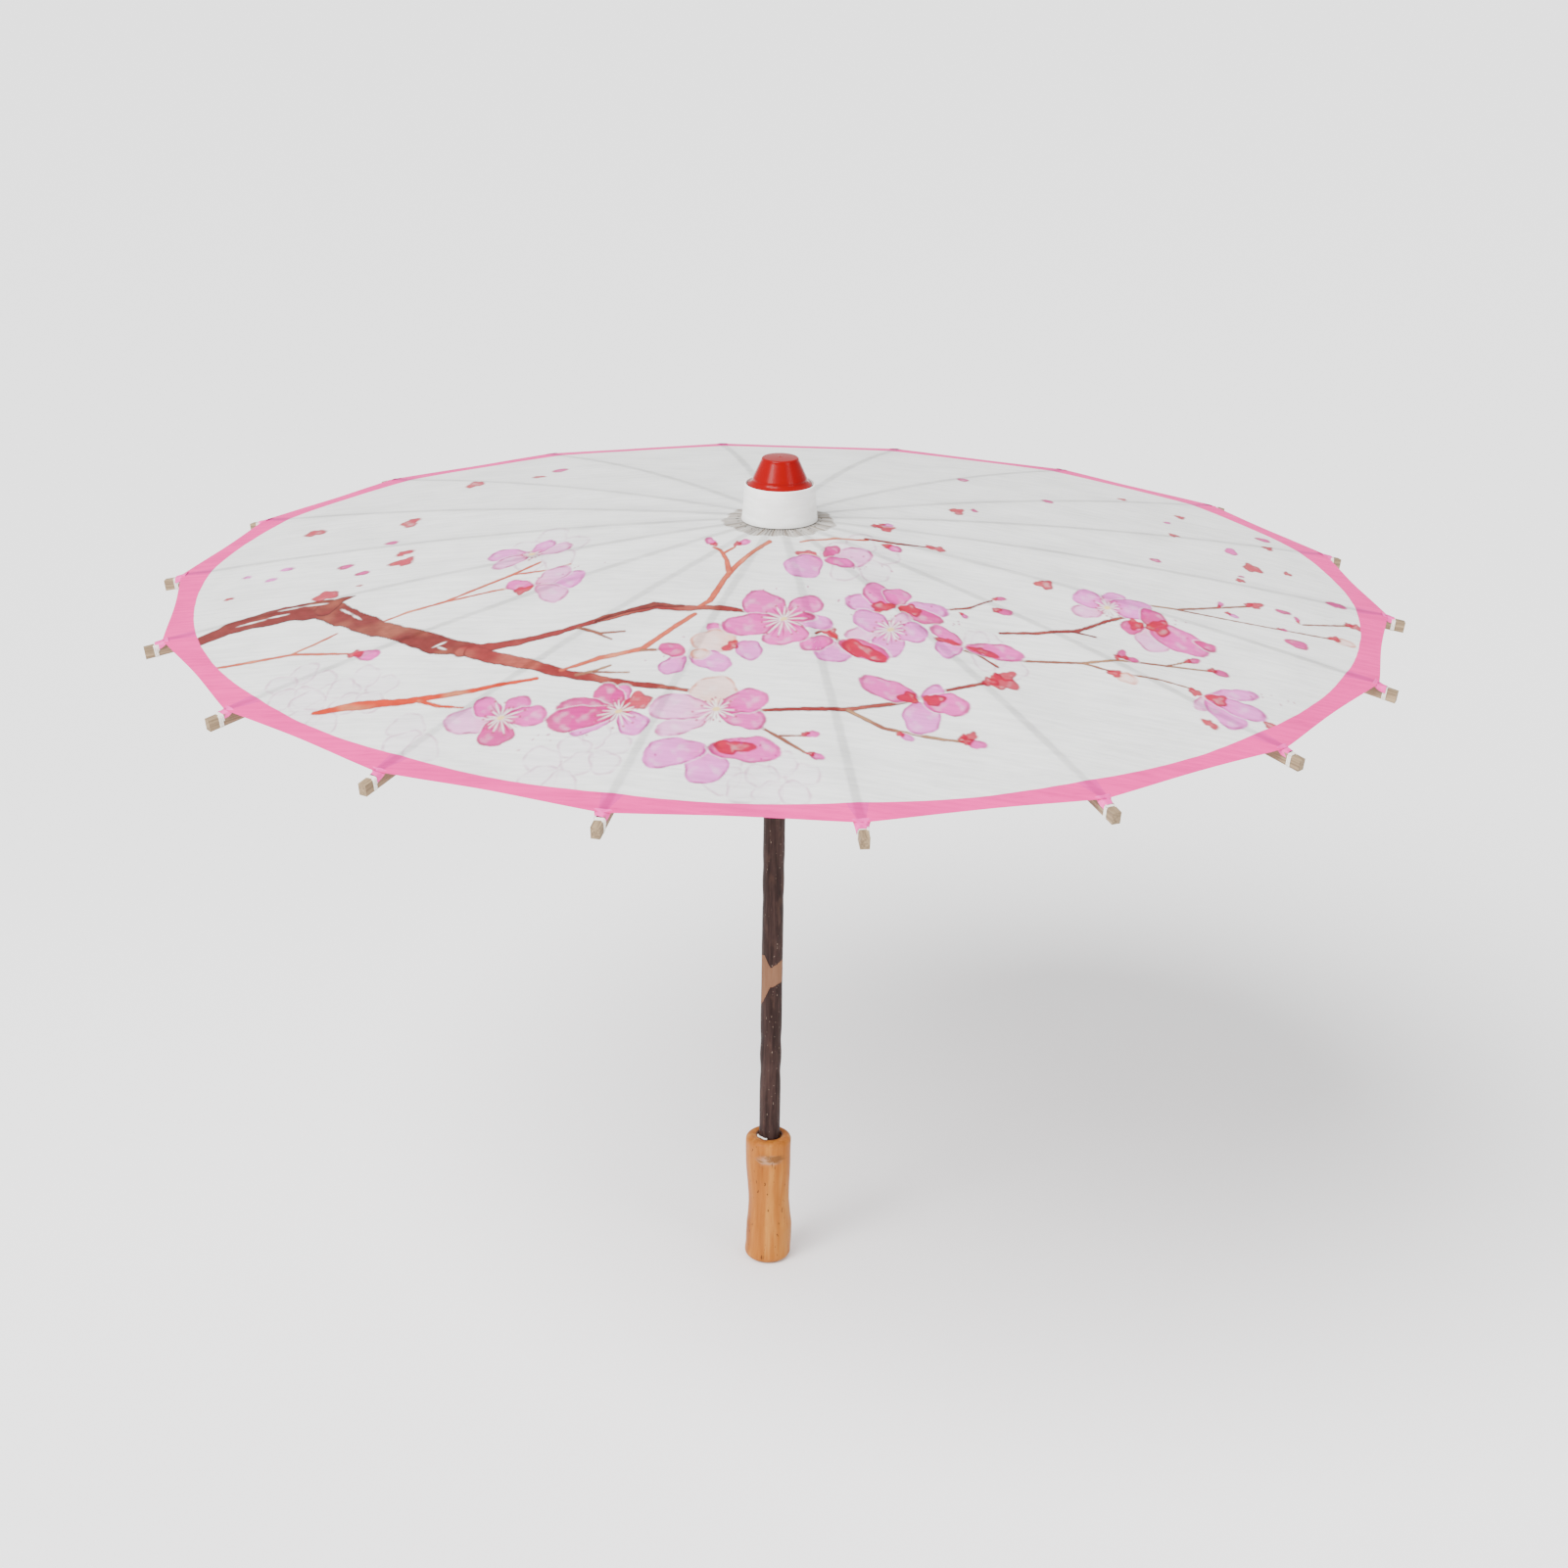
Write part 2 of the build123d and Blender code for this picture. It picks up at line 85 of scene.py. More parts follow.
def grid_faces(rows: int, cols: int, wrap_cols: bool = False) -> Faces:
    """Quads of a grid of points stored row by row.

    Args:
        rows: number of rows of points.
        cols: number of points in a row.
        wrap_cols: join the last point of each row to its first.

    Returns:
        The corner indices of each quad.
    """
    down = np.arange(rows - 1)[:, None]
    along = np.arange(cols if wrap_cols else cols - 1)[None, :]
    below, beside = down + 1, (along + 1) % cols
    corners = [down * cols + along, down * cols + beside, below * cols + beside, below * cols + along]
    spread = [np.broadcast_to(corner, (down.size, along.size)) for corner in corners]
    return np.stack(spread, -1).reshape(-1, 4).tolist()


def make_piece(name: str, points: np.ndarray, faces: Faces, finish: bpy.types.Material) -> bpy.types.Object:
    """Makes a smooth-shaded mesh object at the origin.

    Args:
        name: the piece's name.
        points: an (n, 3) array of places in metres.
        faces: corner indices.
        finish: the material it wears.

    Returns:
        The linked object.
    """
    mesh = bpy.data.meshes.new(name)
    mesh.from_pydata(points, [], faces)
    mesh.update()
    mesh.polygons.foreach_set("use_smooth", np.ones(len(mesh.polygons), bool))
    mesh.materials.append(finish)
    piece = bpy.data.objects.new(name, mesh)
    bpy.context.scene.collection.objects.link(piece)
    return piece


def add_attribute(piece: bpy.types.Object, name: str, values: np.ndarray) -> None:
    """Stores a number or a colour for each point of a piece, for its material to read."""
    kind, slot = ("FLOAT_COLOR", "color") if values.ndim == 2 else ("FLOAT", "value")
    if values.ndim == 2:
        values = np.concatenate([values, np.ones((len(values), 1))], 1)
    layer = piece.data.attributes.new(name, kind, "POINT")
    layer.data.foreach_set(slot, values.astype(np.float32).ravel())


def turned(profile: np.ndarray, around: int = 96, bend: np.ndarray | None = None,
           wobble: np.ndarray | None = None) -> tuple[np.ndarray, Faces]:
    """Surface of revolution about +Z, closed at any end that lies on the axis.

    Point (i, j) is (r_i w_ij cos a_j, r_i w_ij sin a_j, z_i) plus the bend of row i.

    Args:
        profile: (n, 2) radii and heights, outline in order.
        around: points in a turn.
        bend: (n, 2) sideways shifts of the axis, or None.
        wobble: (n, around) factors on the radius, or None.

    Returns:
        The points and faces.
    """
    angle = np.linspace(0, 2 * math.pi, around, endpoint=False)
    radius = np.repeat(profile[:, :1], around, 1)
    if wobble is not None:
        radius = radius * wobble
    x, y = radius * np.cos(angle), radius * np.sin(angle)
    if bend is not None:
        x, y = x + bend[:, :1], y + bend[:, 1:]
    z = np.repeat(profile[:, 1:], around, 1)
    points = np.stack([x, y, z], -1)
    start, end = profile[0, 0] < 1e-7, profile[-1, 0] < 1e-7
    body = points[int(start):len(points) - int(end)]
    faces = grid_faces(len(body), around, wrap_cols=True)
    flat = body.reshape(-1, 3)
    first = np.arange(around)
    beside = (first + 1) % around
    if start:
        pole = np.full(around, len(flat))
        faces += np.stack([pole, beside, first], -1).tolist()
        flat = np.vstack([flat, points[0].mean(0)])
    if end:
        last = (len(body) - 1) * around
        pole = np.full(around, len(flat))
        faces += np.stack([pole, last + first, last + beside], -1).tolist()
        flat = np.vstack([flat, points[-1].mean(0)])
    return flat, faces


def swept_ring(path: np.ndarray, radius: float, around: int = 8) -> tuple[np.ndarray, Faces]:
    """Round tube along an open path, with flat-capped ends.

    Each point of the path carries a circle square to the path, in the plane spanned by the
    path's own normal and binormal (the binormal is the tangent crossed with a fixed direction).

    Args:
        path: (n, 3) points.
        radius: the tube's radius.
        around: points in its section.

    Returns:
        The points and faces.
    """
    tangent = np.gradient(path, axis=0)
    tangent /= np.linalg.norm(tangent, axis=1, keepdims=True)
    fixed = np.where(np.abs(tangent[:, 2:]) < 0.9, np.array([[0.0, 0.0, 1.0]]), np.array([[1.0, 0.0, 0.0]]))
    side = np.cross(tangent, fixed)
    side /= np.linalg.norm(side, axis=1, keepdims=True)
    up = np.cross(tangent, side)
    angle = np.linspace(0, 2 * math.pi, around, endpoint=False)[None, :, None]
    ring = path[:, None] + radius * (np.cos(angle) * side[:, None] + np.sin(angle) * up[:, None])
    faces = grid_faces(len(path), around, wrap_cols=True)
    last = (len(path) - 1) * around
    faces.append(tuple(range(around - 1, -1, -1)))
    faces.append(tuple(range(last, last + around)))
    return ring.reshape(-1, 3), faces


def joined(parts: list[tuple[np.ndarray, Faces]]) -> tuple[np.ndarray, Faces]:
    """Puts several point and face sets into one."""
    points, faces, count = [], [], 0
    for some_points, some_faces in parts:
        points.append(some_points)
        faces += [tuple(corner + count for corner in face) for face in some_faces]
        count += len(some_points)
    return np.vstack(points), faces


def smooth_step(low: float, high: float, value: np.ndarray) -> np.ndarray:
    """Cubic step: 0 below low, 1 above high, 3t^2 - 2t^3 between."""
    t = np.clip((value - low) / (high - low), 0, 1)
    return t * t * (3 - 2 * t)


def ripple(x: np.ndarray, y: np.ndarray, scale: float, seed: float) -> np.ndarray:
    """Soft unevenness from -1 to 1: four crossed sine waves, each bent by another.

    Args:
        x: first coordinate.
        y: second coordinate.
        scale: rough size of one patch, in the coordinates' unit.
        seed: shifts the waves.

    Returns:
        One value for each place.
    """
    u, v = x / scale, y / scale
    first = np.sin(1.9 * u + 1.3 * np.sin(1.1 * v + seed) + seed)
    second = np.sin(2.3 * v + 1.1 * np.sin(1.7 * u - 2 * seed) + 1.7 * seed)
    third = np.sin(3.1 * (u + v) + 0.9 * first + 2.9 * seed)
    fourth = np.sin(4.3 * (u - 0.8 * v) + 1.2 * second + 0.6 * seed)
    return (first + second + 0.6 * third + 0.4 * fourth) / 3


# ---- shader maths --------------------------------------------------------------------------


class Wire:
    """A shader socket that does arithmetic; each expression adds its Math node."""

    def __init__(self, sheet: "NodeSheet", socket: bpy.types.NodeSocket) -> None:
        """Wraps a socket of a sheet of nodes."""
        self.sheet, self.socket = sheet, socket

    def maths(self, operation: str, *others: "Wire | float") -> "Wire":
        """One Math node with this socket first.

        Args:
            operation: the Math node's operation.
            others: its other inputs.

        Returns:
            The result.
        """
        inputs = dict(enumerate((self, *others)))
        return self.sheet.add("ShaderNodeMath", {"operation": operation}, inputs)

    def __add__(self, other: "Wire | float") -> "Wire":
        """Sum."""
        return self.maths("ADD", other)

    def __radd__(self, other: float) -> "Wire":
        """Sum."""
        return self.maths("ADD", other)

    def __sub__(self, other: "Wire | float") -> "Wire":
        """Difference."""
        return self.maths("SUBTRACT", other)

    def __rsub__(self, other: float) -> "Wire":
        """Difference, the number first."""
        return (self * -1.0) + other

    def __mul__(self, other: "Wire | float") -> "Wire":
        """Product."""
        return self.maths("MULTIPLY", other)

    def __rmul__(self, other: float) -> "Wire":
        """Product."""
        return self.maths("MULTIPLY", other)

    def __truediv__(self, other: "Wire | float") -> "Wire":
        """Quotient."""
        return self.maths("DIVIDE", other)

    def step(self, low: float, high: float) -> "Wire":
        """Smooth step from 0 at low to 1 at high."""
        settings = {"interpolation_type": "SMOOTHSTEP"}
        return self.sheet.add("ShaderNodeMapRange", settings,
                              {"Value": self, "From Min": low, "From Max": high})


class NodeSheet:
    """A material and the few kinds of node that its finish is written with."""

    def __init__(self, name: str) -> None:
        """Starts a material with one Principled shader."""
        self.material = bpy.data.materials.new(name)
        self.material.use_nodes = True
        self.tree = self.material.node_tree
        self.shader = self.tree.nodes["Principled BSDF"]

    def add(self, kind: str, settings: dict | None = None, inputs: dict | None = None,
            output: str | int = 0) -> Wire:
        """Adds a node.

        Args:
            kind: the node's type.
            settings: its properties, set first; a ramp's stops come as "stops".
            inputs: a value or a Wire for each socket, by name or number.
            output: which of its outputs to give back.

        Returns:
            That output.
        """
        node = self.tree.nodes.new(kind)
        for key, value in (settings or {}).items():
            if key == "stops":
                self._set_stops(node.color_ramp.elements, value)
            else:
                setattr(node, key, value)
        for key, value in (inputs or {}).items():
            if isinstance(value, Wire):
                self.tree.links.new(value.socket, node.inputs[key])
            else:
                node.inputs[key].default_value = value
        return Wire(self, node.outputs[output])

    @staticmethod
    def _set_stops(elements: bpy.types.bpy_prop_collection, stops: list[tuple[float, Colour]]) -> None:
        """Sets a ramp's stops."""
        while len(elements) < len(stops):
            elements.new(1.0)
        for element, (place, colour) in zip(elements, stops):
            element.position, element.color = place, (*colour, 1.0)

    def place(self) -> Wire:
        """Object coordinates."""
        return self.add("ShaderNodeTexCoord", output="Object")

    def axes(self) -> tuple[Wire, Wire, Wire]:
        """Object coordinates, as three numbers."""
        parts = self.add("ShaderNodeSeparateXYZ", inputs={0: self.place()})
        outputs = parts.socket.node.outputs
        return parts, Wire(self, outputs[1]), Wire(self, outputs[2])

    def stretched(self, scale: tuple[float, float, float], turn: float = 0.0) -> Wire:
        """Object coordinates turned about Z and then scaled, for grain."""
        turned_place = self.add("ShaderNodeMapping", inputs={0: self.place(), "Rotation": (0, 0, turn)})
        return self.add("ShaderNodeVectorMath", {"operation": "MULTIPLY"}, {0: turned_place, 1: scale})

    def noise(self, where: Wire, scale: float, detail: float = 3.0, rough: float = 0.5) -> Wire:
        """Noise from 0 to 1 at a place."""
        inputs = {"Vector": where, "Scale": scale, "Detail": detail, "Roughness": rough}
        return self.add("ShaderNodeTexNoise", None, inputs)

    def mix(self, share: Wire | float, first: Wire | Colour, second: Wire | Colour,
            blend: str = "MIX") -> Wire:
        """Mixes two colours."""
        inputs = {"Factor": share, 6: self._colour(first), 7: self._colour(second)}
        return self.add("ShaderNodeMix", {"data_type": "RGBA", "blend_type": blend}, inputs, 2)

    @staticmethod
    def _colour(value: Wire | Colour) -> "Wire | tuple[float, ...]":
        """A colour with its fourth channel, or the Wire as it is."""
        return value if isinstance(value, Wire) else (*value, 1.0)

    def bump(self, height: Wire, strength: float, depth: float) -> Wire:
        """Normal from a height."""
        return self.add("ShaderNodeBump", None, {"Strength": strength, "Distance": depth, "Height": height})

    def attribute(self, name: str, output: str = "Fac") -> Wire:
        """A stored number (Fac) or colour (Color) of the piece."""
        return self.add("ShaderNodeAttribute", {"attribute_name": name}, output=output)

    def dress(self, **sockets: "Wire | float | Colour") -> bpy.types.Material:
        """Sets the Principled shader's sockets by name, with _ for a space.

        Returns:
            The finished material.
        """
        for key, value in sockets.items():
            socket = self.shader.inputs[key.replace("_", " ")]
            if isinstance(value, Wire):
                self.tree.links.new(value.socket, socket)
            else:
                socket.default_value = (*value, 1.0) if isinstance(value,
                                                                   tuple) and len(value) == 3 else value
        return self.material

    def glow_through(self, share: "Wire | float", colour: Colour) -> bpy.types.Material:
        """Lets some light pass through, as thin paper does."""
        behind = self.add("ShaderNodeBsdfTranslucent", None, {"Color": (*colour, 1.0)})
        front = Wire(self, self.shader.outputs[0])
        both = self.add("ShaderNodeMixShader", None, {0: share, 1: front, 2: behind})
        self.tree.links.new(both.socket, self.tree.nodes["Material Output"].inputs["Surface"])
        return self.material


# ---- finishes ------------------------------------------------------------------------------


@dataclass(frozen=True)
class OiledPaper:
    """Satin oiled paper with fibres, the ribs' shadow painted as grey bands where they show through, and a
    pink edge band.
    """

    white: Colour = (0.80, 0.81, 0.80)
    pink: Colour = (0.82, 0.030, 0.27)
    lapped_pink: Colour = (0.56, 0.03, 0.25)
    band_start: float = 0.3865
    paper_edge: float = 0.408
    rib_half_width: float = 0.0027
    see_through: float = 0.13

    def make(self) -> bpy.types.Material:
        """Builds the material.

        Returns:
            The paper material; it reads the attributes tint and aside.
        """
        sheet = NodeSheet("oiled_paper")
        x, y, _ = sheet.axes()
        out = (x * x + y * y).maths("SQRT")
        fibres = sheet.noise(sheet.stretched((30, 300, 60), 0.12), 1.0, 4.0, 0.62)
        clouds = sheet.noise(sheet.place(), 26.0, 4.0)
        specks = sheet.noise(sheet.stretched((90, 900, 200), -0.2), 1.0, 2.0)
        aside = sheet.attribute("aside").maths("ABSOLUTE")
        shade = (1.0 - fibres.step(0.30, 0.72) * 0.16) - clouds.step(0.35, 0.75) * 0.10
        shade = shade - specks.step(0.62, 0.72) * 0.12
        soft = (sheet.noise(sheet.place(), 90.0, 2.0) - 0.5) * 0.0022
        # Painted shadow of the ribs: a grey band along each rib line, patchy in strength, multiplied into the
        # paper's colour.
        rib = 1.0 - (aside + soft).step(self.rib_half_width * 0.55, self.rib_half_width * 1.45)
        rib_shadow_patchiness = sheet.noise(sheet.place(), 34.0, 3.0).step(0.30, 0.62)
        painted_rib_shadow = rib * (0.26 + rib_shadow_patchiness * 0.16)
        wander = (sheet.noise(sheet.place(), 40.0, 2.0) - 0.5) * 0.0016
        in_band = (out + wander).step(self.band_start, self.band_start + 0.0006)
        lap = 1.0 - (aside - (self.paper_edge + 0.008 - out) * 0.22).step(-0.0004, 0.0004)
        band = sheet.mix(lap * 0.55, self.pink, self.lapped_pink)
        tint = sheet.attribute("tint", "Color")
        painted = sheet.mix(1.0, self.white, tint, "MULTIPLY")
        colour = sheet.mix(in_band, painted, band)
        # Darkens the paper by the painted rib shadow.
        colour = sheet.mix(painted_rib_shadow, colour, sheet.mix(1.0, colour, (0.42, 0.40, 0.39), "MULTIPLY"))
        grey = sheet.add("ShaderNodeCombineColor", None, {0: shade, 1: shade, 2: shade})
        colour = sheet.mix(1.0, colour, grey, "MULTIPLY")
        height = fibres * 0.6 + specks * 0.4
        sheet.dress(
            Base_Color=colour, Roughness=0.40 + clouds * 0.14, Specular_IOR_Level=0.06,
            Normal=sheet.bump(height, 0.3, 0.0004),
        )
        bare = Wire(sheet, sheet.add("ShaderNodeSeparateColor", None, {0: tint}).socket.node.outputs[1])
        return sheet.glow_through(bare * (1.0 - in_band) * self.see_through, (0.86, 0.84, 0.80))


@dataclass(frozen=True)
class Bamboo:
    """Split bamboo: fibres run along each rib, with dark stains in patches along it."""

    name: str = "split_bamboo"
    light: Colour = (0.33, 0.235, 0.135)
    dark: Colour = (0.15, 0.10, 0.058)

    def make(self) -> bpy.types.Material:
        """Builds the material; the grain runs outwards from the shaft's axis."""
        sheet = NodeSheet(self.name)
        x, y, z = sheet.axes()
        out = (x * x + y * y).maths("SQRT")
        angle = y.maths("ARCTAN2", x)
        number = (angle / PITCH).maths("ROUND")
        aside = out * (angle - number * PITCH)
        where = sheet.add("ShaderNodeCombineXYZ", None, {
            0: out * 22.0 + number * 3.7, 1: aside * 900.0, 2: (z + out * 0.14) * 900.0})
        grain = sheet.noise(where, 1.0, 5.0, 0.6)
        stain = sheet.noise(sheet.add("ShaderNodeCombineXYZ", None,
                                      {0: out * 30.0, 1: number * 9.1}), 1.0, 3.0)
        colour = sheet.mix(grain.step(0.32, 0.70), self.dark, self.light)
        colour = sheet.mix(stain.step(0.45, 0.75) * 0.35, colour, (0.11, 0.085, 0.065))
        return sheet.dress(
            Base_Color=colour, Roughness=0.6 + grain * 0.2, Specular_IOR_Level=0.25,
            Normal=sheet.bump(grain, 0.5, 0.0004))


@dataclass(frozen=True)
class TurnedWood:
    """Plain wood whose grain runs up, for the hub, the runner and the pin."""

    name: str
    light: Colour
    dark: Colour
    shine: float = 0.6

    def make(self) -> bpy.types.Material:
        """Builds the material."""
        sheet = NodeSheet(self.name)
        grain = sheet.noise(sheet.stretched((420, 420, 34)), 1.0, 5.0, 0.6)
        rings = sheet.noise(sheet.stretched((120, 120, 9)), 1.0, 2.0)
        colour = sheet.mix(grain.step(0.30, 0.72), self.dark, self.light)
        colour = sheet.mix(rings.step(0.40, 0.70) * 0.4, colour, self.dark)
        return sheet.dress(
            Base_Color=colour, Roughness=self.shine + grain * 0.15, Normal=sheet.bump(grain, 0.4, 0.0003))


@dataclass(frozen=True)
class DarkBark:
    """Varnished dark bark with a scraped patch of bare wood."""

    patch_height: float = 0.228

    def make(self) -> bpy.types.Material:
        """Builds the material; the patch faces the front, towards -Y."""
        sheet = NodeSheet("dark_bark")
        x, y, z = sheet.axes()
        streaks = sheet.noise(sheet.stretched((360, 360, 26)), 1.0, 5.0, 0.65)
        mottle = sheet.noise(sheet.stretched((150, 150, 60)), 1.0, 4.0)
        colour = sheet.mix(streaks.step(0.30, 0.72), (0.018, 0.009, 0.008), (0.052, 0.029, 0.025))
        colour = sheet.mix(mottle.step(0.55, 0.72) * 0.5, colour, (0.075, 0.040, 0.030))
        flecks = sheet.noise(sheet.stretched((900, 900, 420)), 1.0, 1.0).step(0.735, 0.76)
        colour = sheet.mix(flecks * 0.8, colour, (0.24, 0.18, 0.14))
        ragged = (sheet.noise(sheet.stretched((260, 260, 90)), 1.0, 4.0, 0.7) - 0.5) * 0.004
        left = (-0.09 - x / 0.0075).maths("MAXIMUM", 0.0)
        right = (x / 0.0075 + 0.09).maths("MAXIMUM", 0.0)
        top = left.maths("MINIMUM", 0.6) * 0.0145 + right * 0.0045 + (self.patch_height + 0.0085)
        foot = right * 0.003 - left * 0.018 + (self.patch_height - 0.0065)
        bare = (z + ragged - foot).step(-0.0003, 0.0003) * (top - z + ragged).step(-0.0003, 0.0003)
        bare = bare * (1.0 - (y / 0.0075).step(-0.20, -0.02))
        colour = sheet.mix(bare, colour, sheet.mix(streaks, (0.13, 0.055, 0.028), (0.27, 0.145, 0.088)))
        rough = 0.36 + streaks * 0.2 + bare * 0.25
        height = streaks * 0.6 + mottle * 0.4 - bare * 0.8
        return sheet.dress(
            Base_Color=colour, Roughness=rough, Specular_IOR_Level=0.07,
            Normal=sheet.bump(height, 0.5, 0.0005))


@dataclass(frozen=True)
class HoneyWood:
    """Varnished honey-coloured wood with a grey knot, pits and a dark ring round the bore."""

    length: float = 0.1
    knot_height: float = 0.0865

    def make(self) -> bpy.types.Material:
        """Builds the material."""
        sheet = NodeSheet("honey_wood")
        x, y, z = sheet.axes()
        grain = sheet.noise(sheet.stretched((210, 210, 17)), 1.0, 5.0, 0.6)
        broad = sheet.noise(sheet.stretched((70, 70, 14)), 1.0, 2.0)
        stops = [(0.30, (0.22, 0.060, 0.008)), (0.5, (0.35, 0.118, 0.018)), (0.68, (0.47, 0.205, 0.042))]
        colour = sheet.add("ShaderNodeValToRGB", {"stops": stops}, {"Fac": grain * 0.6 + broad * 0.4})
        swirl = sheet.noise(sheet.stretched((110, 110, 260)), 1.0, 3.0)
        over, aside = (z - self.knot_height) * 1.25, (x - 0.001) * 0.6
        to_knot = (over * over + aside * aside).maths("SQRT") + (swirl - 0.5) * 0.011
        knot = (1.0 - to_knot.step(0.0035, 0.0075)) * (1.0 - (y / 0.016).step(-0.3, 0.1))
        ash = sheet.mix(swirl.step(0.42, 0.60), (0.12, 0.055, 0.022), (0.36, 0.22, 0.14))
        colour = sheet.mix(knot * 0.75, colour, ash)
        pits = sheet.noise(sheet.stretched((520, 520, 230)), 1.0, 1.0).step(0.70, 0.74)
        colour = sheet.mix(pits * 0.8, colour, (0.05, 0.02, 0.01))
        out = (x * x + y * y).maths("SQRT")
        at_top = z.step(self.length - 0.0022, self.length - 0.0012)
        ring = at_top * (1.0 - out.step(0.0088, 0.0108))
        colour = sheet.mix(ring * 0.9, colour, (0.07, 0.045, 0.035))
        height = grain * 0.5 - pits * 0.5
        return sheet.dress(
            Base_Color=colour, Roughness=0.32 + grain * 0.18, Specular_IOR_Level=0.09,
            Normal=sheet.bump(height, 0.35, 0.0004))


@dataclass(frozen=True)
class RedPlastic:
    """Glossy red moulding."""

    colour: Colour = (0.225, 0.000, 0.001)

    def make(self) -> bpy.types.Material:
        """Builds the material."""
        sheet = NodeSheet("red_plastic")
        haze = sheet.noise(sheet.place(), 160.0, 3.0)
        streak = sheet.noise(sheet.stretched((420, 420, 30)), 1.0, 3.0)
        colour = sheet.mix(haze * 0.3, self.colour, (0.15, 0.000, 0.001))
        return sheet.dress(
            Base_Color=colour, Roughness=0.16 + streak * 0.10, Specular_IOR_Level=0.10,
            Normal=sheet.bump(haze, 0.08, 0.0004))


@dataclass(frozen=True)
class CollarPaper:
    """Stiff white paper, wrapped, with faint creases."""

    def make(self) -> bpy.types.Material:
        """Builds the material."""
        sheet = NodeSheet("collar_paper")
        creases = sheet.noise(sheet.stretched((60, 60, 200)), 1.0, 4.0, 0.6)
        fibres = sheet.noise(sheet.place(), 420.0, 3.0)
        _, _, z = sheet.axes()
        foot = 1.0 - z.step(0.5650, 0.5676)
        colour = sheet.mix(creases.step(0.35, 0.7), (0.78, 0.78, 0.755), (0.88, 0.885, 0.87))
        colour = sheet.mix(foot * 0.35, colour, (0.50, 0.48, 0.45))
        return sheet.dress(
            Base_Color=colour, Roughness=0.6 + fibres * 0.15,
            Normal=sheet.bump(creases * 0.7 + fibres * 0.3, 0.35, 0.0006))


@dataclass(frozen=True)
class PlainFinish:
    """A finish of one colour with a fine noise, for thread, wire and dyed paper."""

    name: str
    first: Colour
    second: Colour
    roughness: float
    grain: float = 900.0
    metal: float = 0.0

    def make(self) -> bpy.types.Material:
        """Builds the material."""
        sheet = NodeSheet(self.name)
        mottle = sheet.noise(sheet.place(), self.grain, 3.0)
        return sheet.dress(
            Base_Color=sheet.mix(mottle.step(0.3, 0.7), self.first, self.second), Metallic=self.metal,
            Roughness=self.roughness + mottle * 0.12, Normal=sheet.bump(mottle, 0.4, 0.0003))


# ---- the painted design ---------------------------------------------------------------------


class Tone(Enum):
    """Pigments of the blossom, as body colour, root colour and outline colour."""

    HOT = ((0.66, 0.00, 0.25), (0.58, 0.00, 0.10), (0.38, 0.00, 0.10))
    ROSE = ((0.84, 0.045, 0.44), (0.66, 0.00, 0.20), (0.38, 0.00, 0.13))
    LILAC = ((0.88, 0.16, 0.66), (0.80, 0.05, 0.42), (0.42, 0.00, 0.22))
    PALE = ((0.93, 0.36, 0.74), (0.88, 0.20, 0.42), (0.46, 0.00, 0.18))
    PEACH = ((0.97, 0.66, 0.62), (0.92, 0.36, 0.12), (0.70, 0.20, 0.12))
    CRIMSON = ((0.52, 0.00, 0.04), (0.56, 0.01, 0.005), (0.34, 0.00, 0.03))
    GHOST = ((0.97, 0.90, 0.97), (0.96, 0.84, 0.93), (0.52, 0.12, 0.34))


class Bark(Enum):
    """Pigments of the branches, as body colour, second colour and outline colour."""

    OLD = ((0.19, 0.028, 0.026), (0.30, 0.075, 0.045), (0.06, 0.012, 0.014))
    RED = ((0.25, 0.026, 0.026), (0.36, 0.07, 0.050), (0.09, 0.010, 0.013))
    SALMON = ((0.58, 0.10, 0.05), (0.72, 0.23, 0.12), (0.38, 0.05, 0.03))
    ORANGE = ((0.62, 0.04, 0.012), (0.60, 0.18, 0.08), (0.42, 0.04, 0.02))
    TWIG = ((0.28, 0.09, 0.05), (0.42, 0.22, 0.10), (0.20, 0.05, 0.04))


DRAWN_FRONT = 300
DRAWN_DEPTH = 1320
DRAWN_SCALE = 910


